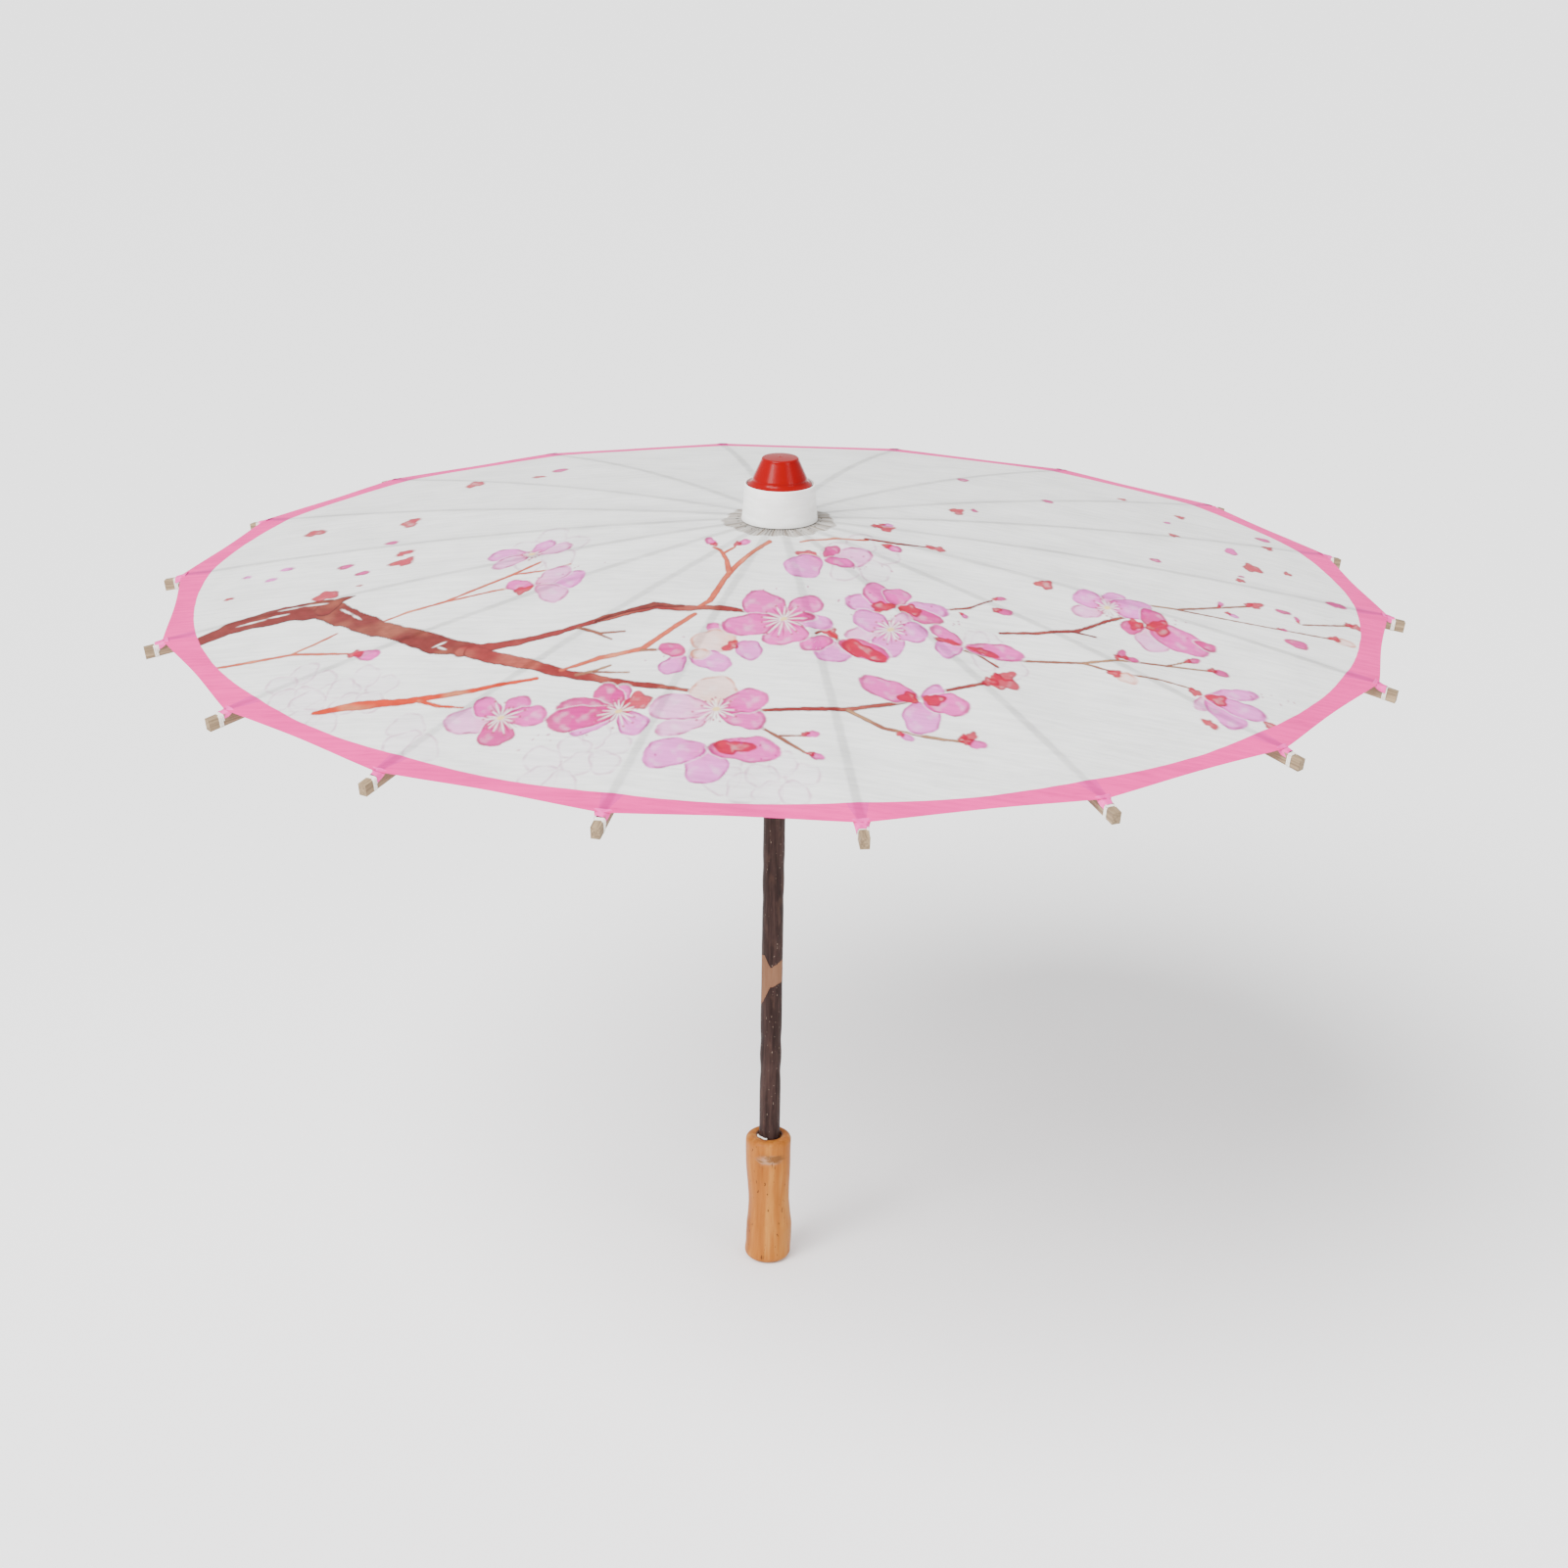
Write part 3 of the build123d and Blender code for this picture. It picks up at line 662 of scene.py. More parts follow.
@dataclass
class Painter:
    """Paints the tint of the white paper at given places, in millimetres seen from above.

    The tint multiplies the paper's own white, as transparent water colour does. The design
    is drawn longer towards the back: a place y counts as
    ln(1 + (y + DRAWN_FRONT) / DRAWN_DEPTH) * DRAWN_SCALE.
    """

    x: np.ndarray
    y: np.ndarray
    tint: np.ndarray = field(init=False)
    grain: np.ndarray = field(init=False)
    edge: float = 0.42

    def __post_init__(self) -> None:
        """Starts with bare paper."""
        self.y = self.drawn(self.y)
        self.tint = np.ones((self.x.size, 3))
        self.grain = ripple(self.x, self.y, 2.6, 1.3)

    @staticmethod
    def drawn(y: np.ndarray | float) -> np.ndarray:
        """Distance in the drawing of a place y on the paper."""
        return np.log(1 + (np.asarray(y) + DRAWN_FRONT) / DRAWN_DEPTH) * DRAWN_SCALE

    def near(self, x: float, y: float, reach: float) -> np.ndarray:
        """Indices of the places within reach of a point of the drawing, along both axes."""
        return np.flatnonzero((np.abs(self.x - x) < reach) & (np.abs(self.y - y) < reach))

    def lay(self, where: np.ndarray, cover: np.ndarray, colour: np.ndarray) -> None:
        """Lays colour over what is there, by share of cover."""
        cover = cover[:, None]
        self.tint[where] = self.tint[where] * (1 - cover) + colour * cover

    def petal(self, x: float, y: float, length: float, width: float, turn: float, tone: Tone,
              strength: float = 1.0, seed: float = 0.0) -> None:
        """One petal from its root: stained at the root, pale in its middle, with a thin dark
        outline and a line of bare paper round it.

        Its outline is an ellipse of half axes length / 2 and width / 2 whose radius swells and
        shrinks with the angle by 6% and 4% in three and five waves, and 2.6 times as much in crimson; it
        narrows to its root.

        Args:
            x: the root's place.
            y: the root's place, as drawn.
            length: root to tip.
            width: greatest width.
            turn: degrees, the way it points.
            tone: its pigments.
            strength: 0 to 1, how much pigment.
            seed: changes its outline and its blotches.
        """
        lean = math.radians(turn)
        middle_x, middle_y = x + math.cos(lean) * length / 2, y + math.sin(lean) * length / 2
        where = self.near(middle_x, middle_y, max(length, width) * 0.62 + 2)
        if not where.size:
            return
        dx, dy = self.x[where] - middle_x, self.y[where] - middle_y
        along = dx * math.cos(lean) + dy * math.sin(lean)
        across = dy * math.cos(lean) - dx * math.sin(lean)
        from_root = np.clip(along / length + 0.5, 0, 1)
        wide = width * (0.80 + 0.28 * from_root)
        angle = np.arctan2(across, along)
        limit = 1 / np.hypot(np.cos(angle) * 2 / length, np.sin(angle) * 2 / wide)
        ragged = 2.6 if tone is Tone.CRIMSON else 1.0
        limit = limit * (1 + ragged * (0.06 * np.sin(3 * angle + seed) + 0.04 * np.sin(5 * angle + 2 * seed)))
        steep = np.hypot(np.cos(angle) / length, np.sin(angle) / wide) * min(length, width)
        gap = (np.hypot(along, across) - limit) * np.clip(steep, 0.4, 1) + 0.3 * self.grain[where]
        body, root, line = (np.array(colour) for colour in tone.value)
        blotch = ripple(self.x[where], self.y[where], 4.5, seed + 2.0)
        stain = (smooth_step(0.55, 0.0, from_root) * (0.6 + 0.4 * blotch))[:, None]
        colour = body * (1 - stain) + root * stain
        light = (0.38 * smooth_step(-0.1, 0.95, blotch) * smooth_step(-0.6, -3.2, gap))[:, None]
        colour = colour * (1 - light) + (0.45 * body + 0.55) * light
        rim = (smooth_step(-2.1, -0.9, gap) * np.clip(0.62 + 0.8 * blotch, 0, 1))[:, None]
        colour = colour * (1 - 0.9 * rim) + line * 0.9 * rim
        bare = 0.0 if tone is Tone.CRIMSON else 0.35
        self.lay(where, bare * smooth_step(1.1, 0.6, gap), np.ones(3))
        self.lay(where, smooth_step(self.edge, -self.edge, gap) * strength, colour)

    def stroke(self, points: list[tuple[float, float, float]], bark: Bark, shake: float = 0.2,
               seed: float = 0.0) -> None:
        """A branch as a chain of tapering lines; a place's gap is its least distance to a line
        less that line's half width there.

        Args:
            points: x, y on the paper and half width in the drawing at each bend.
            bark: its pigments.
            shake: share by which the width varies.
            seed: changes its unevenness.
        """
        chain = np.array(points, float)
        chain[:, 1] = self.drawn(chain[:, 1])
        low, high = chain.min(0) - chain[:, 2].max() - 3, chain.max(0) + chain[:, 2].max() + 3
        inside = (self.x > low[0]) & (self.x < high[0]) & (self.y > low[1]) & (self.y < high[1])
        where = np.flatnonzero(inside)
        if not where.size:
            return
        x, y = self.x[where], self.y[where]
        gap = np.full(where.size, 1e3)
        aside = np.zeros(where.size)
        for (x0, y0, w0), (x1, y1, w1) in zip(chain, chain[1:]):
            run = math.hypot(x1 - x0, y1 - y0)
            ux, uy = (x1 - x0) / run, (y1 - y0) / run
            share = np.clip(((x - x0) * ux + (y - y0) * uy) / run, 0, 1)
            px, py = x - (x0 + (x1 - x0) * share), y - (y0 + (y1 - y0) * share)
            half = w0 + (w1 - w0) * share
            this = np.hypot(px, py) - half
            nearer = this < gap
            gap = np.where(nearer, this, gap)
            aside = np.where(nearer, (py * ux - px * uy) / half, aside)
        wide = chain[:, 2].max()
        gap = gap + shake * wide * ripple(x, y, 7.0, seed) + 0.25 * self.grain[where]
        body, other, line = (np.array(colour) for colour in bark.value)
        patch = smooth_step(-0.1, 0.55, ripple(x, y, 17.0, seed + 4.0))[:, None]
        colour = body * (1 - patch) + other * patch
        colour = colour * (1 - 0.12 * self.grain[where, None])
        under = (smooth_step(-1.5, -0.2, gap) * (0.45 + 0.45 * smooth_step(0.2, -0.9, aside)))[:, None]
        colour = colour * (1 - under) + line * under
        self.lay(where, smooth_step(self.edge, -self.edge, gap), colour)

    def fleck(self, x: float, y: float, length: float, width: float, turn: float, colour: Colour,
              strength: float = 0.9) -> None:
        """A thin spindle-shaped touch of one colour, centred on a place."""
        where = self.near(x, y, length / 2 + 2)
        if not where.size:
            return
        lean = math.radians(turn)
        dx, dy = self.x[where] - x, self.y[where] - y
        along = (dx * math.cos(lean) + dy * math.sin(lean)) / (length / 2)
        across = (dy * math.cos(lean) - dx * math.sin(lean)) / (width / 2)
        gap = (np.hypot(along, across) - 1) * width / 2 + 0.15 * self.grain[where]
        self.lay(where, smooth_step(self.edge, -self.edge, gap) * strength, np.array(colour))


Petals = tuple[tuple[float, float, float, Tone], ...]
HOT, ROSE, LILAC, PALE, PEACH, CRIMSON, GHOST = Tone


@dataclass(frozen=True)
class Flower:
    """A blossom: its heart's place in millimetres and its petals, the undermost first.

    Each petal gives the degrees it points to, its length, its width and its tone.
    """

    x: float
    y: float
    petals: Petals
    stamens: float = 0.0
    heart: Colour = (0.95, 0.62, 0.16)
    far_from: float = -125.0
    far_growth: float = 1.22
    spread: float = 1.22

    def paint(self, painter: Painter) -> None:
        """Lays the petals one over another, then the stamens; far flowers are drawn larger."""
        dice = np.random.default_rng(int(abs(self.x) * 7 + abs(self.y) * 13))
        y = float(painter.drawn(self.y))
        if not painter.near(self.x, y, 48).size:
            return
        grow = self.far_growth if self.y > self.far_from else 1.0
        for turn, length, width, tone in self.petals:
            length, width = length * grow, width * grow
            strength = 0.55 if tone is GHOST else 0.95
            lean = math.radians(turn)
            painter.petal(self.x + 1.2 * math.cos(lean), y + 1.2 * math.sin(lean), length,
                          width * self.spread, turn,
                          tone, strength, dice.uniform(0, 6))
        if self.stamens:
            self._stamens(painter, y, dice)

    def _stamens(self, painter: Painter, y: float, dice: np.random.Generator) -> None:
        """White hairs with dots at their ends, round a yellow heart."""
        for turn in np.arange(0, 360, 24):
            turn = turn + dice.uniform(-7, 7)
            reach = self.stamens * dice.uniform(0.6, 1.1)
            lean = math.radians(turn)
            painter.fleck(self.x + math.cos(lean) * reach * 0.65, y + math.sin(lean) * reach * 0.65,
                          reach * 1.1, 1.05, turn, (1.0, 0.97, 0.94), 0.82)
            side = lean + math.radians(12)
            painter.fleck(self.x + math.cos(side) * reach * 0.8, y + math.sin(side) * reach * 0.8,
                          reach * 0.8, 0.9, turn + 12, (0.42, 0.00, 0.12), 0.7)
            painter.fleck(self.x + math.cos(lean) * reach * 1.3, y + math.sin(lean) * reach * 1.3,
                          1.8, 1.5, turn, (0.45, 0.01, 0.10), 0.8)
        painter.fleck(self.x, y, 4.5, 3.2, 20, self.heart, 0.85)


@dataclass(frozen=True)
class Bud:
    """A closed bud on a crimson calyx."""

    x: float
    y: float
    size: float
    turn: float
    tone: Tone = ROSE

    def paint(self, painter: Painter) -> None:
        """Petals first, then the calyx at their foot."""
        lean, y = math.radians(self.turn), float(painter.drawn(self.y))
        painter.petal(self.x, y, self.size, self.size * 0.62, self.turn, self.tone, 0.95, self.x)
        painter.petal(self.x - math.cos(lean) * self.size * 0.25, y - math.sin(lean) * self.size * 0.25,
                      self.size * 0.6, self.size * 0.45, self.turn + 12, CRIMSON, 0.95, self.y)


@dataclass(frozen=True)
class Fallen:
    """A loose petal in the air, given by its middle."""

    x: float
    y: float
    length: float
    width: float
    turn: float
    tone: Tone = CRIMSON
    stretch: float = 1.12
    spread: float = 1.15
    far_spread: float = 1.6

    def paint(self, painter: Painter) -> None:
        """One petal about its middle."""
        lean, y = math.radians(self.turn), float(painter.drawn(self.y))
        length = self.length * self.stretch
        width = self.width * (self.spread if self.y < 0 else self.far_spread)
        painter.petal(self.x - math.cos(lean) * length / 2, y - math.sin(lean) * length / 2,
                      length, width, self.turn, self.tone, 0.95, self.x + self.y)


@dataclass(frozen=True)
class BlossomDesign:
    """The whole painted design: branches, blossoms, buds and loose petals, in millimetres."""

    shift: float = 8.0
    turn: float = math.radians(0.76)

    def paint(self, x: np.ndarray, y: np.ndarray) -> np.ndarray:
        """Tint of the paper at places given in metres.

        Args:
            x: places along +X.
            y: places along +Y.

        Returns:
            An (n, 3) array of colours that multiply the paper's white.
        """
        cos, sin = math.cos(self.turn), math.sin(self.turn)
        painter = Painter((x * cos + y * sin) / MM - self.shift, (y * cos - x * sin) / MM)
        self._ghosts(painter)
        self._branches(painter)
        self._blossoms(painter)
        self._buds(painter)
        self._loose(painter)
        return painter.tint

    @staticmethod
    def _ghosts(painter: Painter) -> None:
        """Faint blossoms, hardly more than their outlines."""
        five = tuple((turn, 21, 15, GHOST) for turn in (20, 92, 164, 236, 308))
        three = tuple((turn, 24, 18, GHOST) for turn in (150, 215, 275))
        for x, y, petals in (
            (-284, -236, five), (-244, -248, five), (-262, -268, three), (-196, -308, three),
            (-96, -334, five), (-112, -352, three), (-10, -352, three), (12, -362, five), (-158, -42, five),
            (48, -66, five), (140, -190, three),
        ):
            Flower(x, y, petals).paint(painter)

    @staticmethod
    def _branches(painter: Painter) -> None:
        """The old branch from the left, its forks, and the thin shoots."""
        for seed, (bark, points) in enumerate((
            (Bark.ORANGE, [(-268, -271, 1.6), (-243, -266, 4.2), (-214, -266, 3), (-175, -260, 2.2),
                           (-139, -248, 1.1)]),
            (Bark.ORANGE, [(-206, -267, 1.8), (-192, -277, 1.4), (-178, -281, 0.9)]),
            (Bark.SALMON, [(-357, -193, 1.1), (-332, -189, 1.4), (-298, -184, 1.3), (-262, -195, 1.1)]),
            (Bark.SALMON, [(-300, -184, 1.0), (-286, -170, 1.2), (-276, -158, 0.9)]),
            (Bark.SALMON, [(-262, -158, 0.9), (-236, -134, 1.2), (-214, -122, 1.2), (-176, -84, 1.2),
                           (-160, -66, 0.9)]),
            (Bark.SALMON, [(-218, -124, 1.0), (-186, -112, 1.1), (-164, -106, 1.2)]),
            (Bark.SALMON, [(-176, -84, 0.9), (-152, -80, 0.9), (-140, -72, 0.8)]),
            (Bark.OLD, [(-378, -156, 3.4), (-352, -128, 6.4), (-319, -116, 8.4), (-293, -114, 9),
                        (-262, -146, 8.2),
                        (-236, -170, 7.4), (-208, -192, 7.6), (-181, -203, 5.6)]),
            (Bark.OLD, [(-292, -114, 7), (-284, -103, 3.4), (-276, -98, 0.9)]),
            (Bark.RED, [(-190, -203, 5.4), (-159, -196, 3.2), (-131, -185, 2.6), (-96, -162, 2.6),
                        (-78, -150, 3.2),
                        (-55, -154, 2.8), (-20, -158, 2)]),
            (Bark.OLD, [(-112, -173, 1), (-92, -157, 1.6), (-76, -148, 1.9), (-60, -150, 1)]),
            (Bark.TWIG, [(-122, -182, 1.4), (-108, -190, 1.1), (-93, -186, 0.7)]),
            (Bark.TWIG, [(-112, -188, 1), (-100, -197, 0.7)]),
            (Bark.RED, [(-184, -204, 5.6), (-159, -223, 5.2), (-125, -241, 3.6), (-107, -246, 3.2),
                        (-82, -257, 2.7),
                        (-46, -267, 1.6)]),
            (Bark.TWIG, [(-116, -243, 1.4), (-106, -238, 1.2), (-97, -231, 0.8)]),
            (Bark.TWIG, [(-106, -239, 1.1), (-85, -241, 0.7)]),
            (Bark.SALMON, [(-126, -238, 1.1), (-104, -221, 2), (-80, -210, 2.1), (-65, -184, 2.1),
                           (-52, -164, 1.9)]),
            (Bark.TWIG, [(-80, -212, 1.4), (-58, -213, 0.8)]),
            (Bark.SALMON, [(-50, -152, 1.5), (-44, -145, 2.3), (-37, -110, 2.2),
                           (-33, -94, 2.3), (-24, -70, 1.8),
                           (-12, -46, 1.7)]),
            (Bark.SALMON, [(-35, -98, 2), (-38, -78, 1.8), (-43, -63, 1.3), (-48, -56, 1)]),
            (Bark.SALMON, [(-40, -66, 1), (-34, -56, 0.9)]),
            (Bark.RED, [(-14, -286, 1.1), (10, -284, 1.6), (45, -283, 1.9), (77, -267, 1.6), (99, -251, 1.5),
                        (128, -236, 1.2)]),
            (Bark.TWIG, [(46, -284, 1.5), (67, -300, 1.4), (99, -306, 1.2), (112, -307, 0.9)]),
            (Bark.TWIG, [(-6, -302, 1), (10, -318, 1.2), (23, -332, 0.9)]),
            (Bark.TWIG, [(8, -314, 0.9), (20, -314, 0.8)]),
            (Bark.RED, [(136, -162, 1), (160, -158, 1.4), (184, -146, 1.6), (204, -120, 1.4),
                        (222, -104, 1.1)]),
            (Bark.RED, [(182, -148, 1.2), (196, -150, 0.8)]),
            (Bark.TWIG, [(98, -192, 1), (135, -200, 1.1), (160, -196, 1.1), (186, -192, 1.1),
                         (208, -182, 1.1),
                         (238, -177, 0.9), (268, -172, 0.8)]),
            (Bark.TWIG, [(186, -192, 1), (206, -200, 0.8), (232, -201, 0.8), (252, -206, 0.8)]),
            (Bark.TWIG, [(238, -177, 0.8), (252, -164, 0.8)]),
            (Bark.RED, [(100, -178, 1), (120, -196, 1.2), (134, -212, 0.9)]),
            (Bark.TWIG, [(224, -84, 0.9), (253, -79, 1.2), (278, -60, 1.1), (302, -44, 0.9)]),
            (Bark.TWIG, [(253, -80, 1), (285, -80, 0.8), (315, -79, 0.8), (341, -78, 0.8), (356, -77, 0.9)]),
            (Bark.TWIG, [(336, -60, 0.8), (356, -50, 0.9), (370, -42, 0.9)]),
            (Bark.SALMON, [(8, -44, 0.9), (30, -34, 1.1), (52, -30, 1)]),
            (Bark.RED, [(50, -28, 1), (72, -32, 1.1), (92, -31, 0.9)]),
            (Bark.RED, [(24, -188, 1.2), (30, -180, 1.5), (38, -196, 1.6)]),
            (Bark.RED, [(96, -138, 0.8), (118, -130, 0.9), (132, -116, 0.8)]),
        )):
            painter.stroke(points, bark, 0.12, seed * 1.7)
        for x, y, length, turn in (
            (-338, -124, 15, 12), (-316, -108, 13, 6), (-322, -118, 11, 8), (-300, -106, 14, 0),
            (-276, -124, 11, -34), (-268, -134, 8, -38), (-206, -192, 7, 30), (-204, -197, 6, -24),
        ):
            painter.fleck(x, float(painter.drawn(y)), length, 1.5, turn, (1.0, 0.99, 0.97))

    @staticmethod
    def _blossoms(painter: Painter) -> None:
        """Open flowers, from the back of the bunch to the front."""
        for flower in (
            Flower(-168, -50, ((170, 24, 12, LILAC), (205, 20, 9, PALE), (20, 22, 10, PALE),
                               (60, 16, 9, LILAC)), 5),
            Flower(-158, -112, ((15, 26, 13, LILAC), (50, 22, 12, PALE), (-30, 20, 11, PALE),
                                (160, 16, 9, ROSE),
                                (200, 10, 6, CRIMSON))),
            Flower(24, -72, ((12, 25, 15, PALE), (160, 14, 6, CRIMSON), (60, 13, 7, HOT), (-12, 17, 7, ROSE),
                             (215, 21, 17, LILAC))),
            Flower(72, -142, ((172, 33, 13, LILAC), (4, 31, 13, LILAC), (136, 26, 16, ROSE),
                              (88, 18, 15, ROSE),
                              (-20, 29, 12, HOT), (184, 15, 8, CRIMSON), (-8, 15, 9, CRIMSON))),
            Flower(69, -174, ((196, 27, 13, PALE), (52, 16, 10, PALE), (-96, 23, 18, LILAC),
                              (-8, 22, 15, LILAC),
                              (152, 25, 15, LILAC)), 9),
            Flower(206, -98, ((202, 19, 10, PALE), (60, 15, 11, LILAC), (10, 23, 14, LILAC),
                              (152, 18, 12, LILAC)), 7),
            Flower(229, -118, ((-75, 19, 17, PALE), (-24, 32, 16, ROSE), (200, 13, 9, HOT), (58, 14, 12, HOT),
                               (0, 12, 10, CRIMSON), (180, 8, 7, CRIMSON))),
            Flower(114, -188, ((50, 19, 13, GHOST), (205, 18, 14, LILAC), (-3, 36, 13, ROSE),
                               (146, 24, 10, ROSE),
                               (168, 17, 4, CRIMSON), (-14, 20, 5, CRIMSON))),
            Flower(36, -194, ((-100, 19, 22, LILAC), (202, 22, 11, ROSE), (-20, 33, 14, HOT),
                              (-24, 30, 11, CRIMSON),
                              (120, 11, 7, CRIMSON))),
            Flower(-22, -198, ((-52, 18, 14, LILAC), (152, 22, 10, ROSE), (190, 28, 17, PEACH),
                               (232, 12, 6, CRIMSON))),
            Flower(-52, -222, ((-14, 27, 14, LILAC), (228, 19, 13, LILAC), (150, 19, 10, HOT),
                               (10, 12, 8, PEACH)),
                   0, (0.9, 0.5, 0.1)),
            Flower(3, -168, ((-6, 30, 12, LILAC), (-82, 22, 24, ROSE), (42, 28, 16, ROSE),
                             (138, 31, 22, ROSE),
                             (195, 36, 17, ROSE), (6, 19, 7, HOT)), 11),
            Flower(88, -262, ((40, 16, 10, LILAC), (-88, 26, 20, LILAC), (-8, 28, 15, ROSE),
                              (162, 37, 15, ROSE),
                              (170, 12, 8, CRIMSON), (4, 13, 8, CRIMSON)), 0, (0.75, 0.06, 0.02)),
            Flower(-154, -294, ((186, 31, 19, PALE), (52, 20, 12, ROSE), (140, 21, 13, ROSE),
                                (4, 27, 14, ROSE),
                                (-92, 21, 18, HOT)), 10),
            Flower(-86, -290, ((206, 30, 15, LILAC), (-48, 23, 15, LILAC), (92, 21, 10, ROSE),
                               (122, 25, 15, HOT),
                               (168, 37, 14, HOT), (190, 42, 17, HOT), (36, 20, 12, CRIMSON)), 10),
            Flower(-32, -328, ((-88, 27, 22, LILAC), (196, 37, 19, LILAC), (-3, 42, 17, ROSE),
                               (0, 24, 9, CRIMSON))),
            Flower(-30, -286, ((214, 36, 14, PALE), (100, 25, 25, PEACH), (180, 39, 18, PALE),
                               (-18, 30, 15, ROSE),
                               (24, 31, 16, ROSE)), 10),
            Flower(258, -213, ((-110, 14, 8, PALE), (-48, 30, 17, LILAC), (18, 34, 10, LILAC),
                               (-17, 38, 13, LILAC),
                               (160, 9, 6, CRIMSON), (-10, 13, 9, CRIMSON))),
        ):
            flower.paint(painter)

    @staticmethod
    def _buds(painter: Painter) -> None:
        """Closed buds on the twigs."""
        for bud in (
            Bud(-47, -50, 10, 140), Bud(-33, -52, 10, 30), Bud(-258, -198, 17, -8),
            Bud(128, -236, 18, 8, CRIMSON),
            Bud(132, -228, 14, 24, CRIMSON), Bud(114, -308, 12, -5), Bud(112, -303, 10, 20, CRIMSON),
            Bud(26, -334, 9, -20), Bud(22, -313, 9, 8), Bud(208, -178, 10, 60, HOT),
            Bud(212, -177, 9, 0, HOT),
            Bud(204, -202, 15, -14, PEACH), Bud(252, -164, 9, 24, HOT), Bud(266, -172, 11, -6, HOT),
            Bud(134, -113, 8, 30, HOT), Bud(134, -131, 11, -4, HOT), Bud(112, -139, 6, -40),
            Bud(92, -30, 12, -6, CRIMSON),
            Bud(64, -38, 11, -16), Bud(56, 2, 14, -8, CRIMSON), Bud(60, 8, 9, 10, LILAC),
            Bud(302, -43, 11, 18, CRIMSON),
            Bud(282, -56, 7, 70), Bud(286, -66, 8, -20, LILAC), Bud(354, -77, 14, -8, PEACH),
            Bud(318, -78, 6, 0, HOT),
            Bud(368, -42, 11, -6, CRIMSON), Bud(334, -57, 6, 100, HOT), Bud(76, -305, 9, -24, LILAC),
        ):
            bud.paint(painter)

    @staticmethod
    def _loose(painter: Painter) -> None:
        """Loose petals across the back and the right, and fine spatter by the blossoms."""
        for petal in (
            Fallen(-339, 77, 14, 6, 4), Fallen(-269, 68, 11, 8, 20), Fallen(-242, 188, 12, 8, 15),
            Fallen(-272, 12, 9, 4, 0, HOT),
            Fallen(-259, -16, 11, 5, 15), Fallen(-256, -34, 15, 8, 8), Fallen(-296, -30, 10, 5, 6, HOT),
            Fallen(-281, -48, 9, 5, 8, HOT), Fallen(-338, -18, 9, 4, 0, LILAC),
            Fallen(-345, -36, 7, 4, 10, LILAC),
            Fallen(-364, -23, 6, 3, 0, LILAC), Fallen(-367, -65, 7, 3, 8), Fallen(-277, -77, 5, 2, 0),
            Fallen(-297, -90, 15, 11, 12), Fallen(-185, 236, 11, 6, 6, HOT), Fallen(-197, 205, 9, 5, 10),
            Fallen(118, 203, 8, 5, 0, HOT), Fallen(178, 151, 8, 4, -10, HOT), Fallen(112, 75, 9, 6, -12),
            Fallen(124, 85, 5, 3, -20, HOT), Fallen(237, 213, 7, 4, -24), Fallen(277, 181, 7, 4, -16),
            Fallen(265, 150, 5, 3, 20, ROSE), Fallen(265, 100, 7, 4, -16), Fallen(334, 148, 10, 5, -14, HOT),
            Fallen(334, 117, 7, 4, -8), Fallen(304, 85, 8, 6, 30, ROSE), Fallen(246, 22, 8, 4, -14, HOT),
            Fallen(315, 51, 12, 8, -18), Fallen(340, 55, 5, 4, 50), Fallen(302, 8, 6, 4, 0),
            Fallen(167, -74, 11, 8, 0),
            Fallen(365, -5, 13, 6, -5, HOT), Fallen(325, -42, 10, 4, -5, HOT),
            Fallen(266, -135, 13, 7, -22, HOT),
            Fallen(327, -102, 14, 9, -12, HOT), Fallen(258, -249, 10, 5, -28), Fallen(295, -238, 8, 6, -10),
            Fallen(304, 20, 5, 2, 10, ROSE),
        ):
            petal.paint(painter)
        dice = np.random.default_rng(42)
        for x, y, spread in ((2, -130, 16), (-20, -334, 24), (100, -150, 16), (50, -140, 14), (-60, -216, 14),
                             (-140, -96, 14), (46, -74, 12), (-118, -318, 16),
                             (240, -106, 10), (300, -200, 8)):
            for _ in range(7):
                painter.fleck(x + dice.normal(0, spread),
                              float(painter.drawn(y)) + dice.normal(0, spread * 0.5),
                              dice.uniform(1.1, 2.1), dice.uniform(0.9, 1.4), dice.uniform(0, 180),
                              (0.45, 0.0, 0.18), 0.8)


# ---- sub-assemblies -------------------------------------------------------------------------


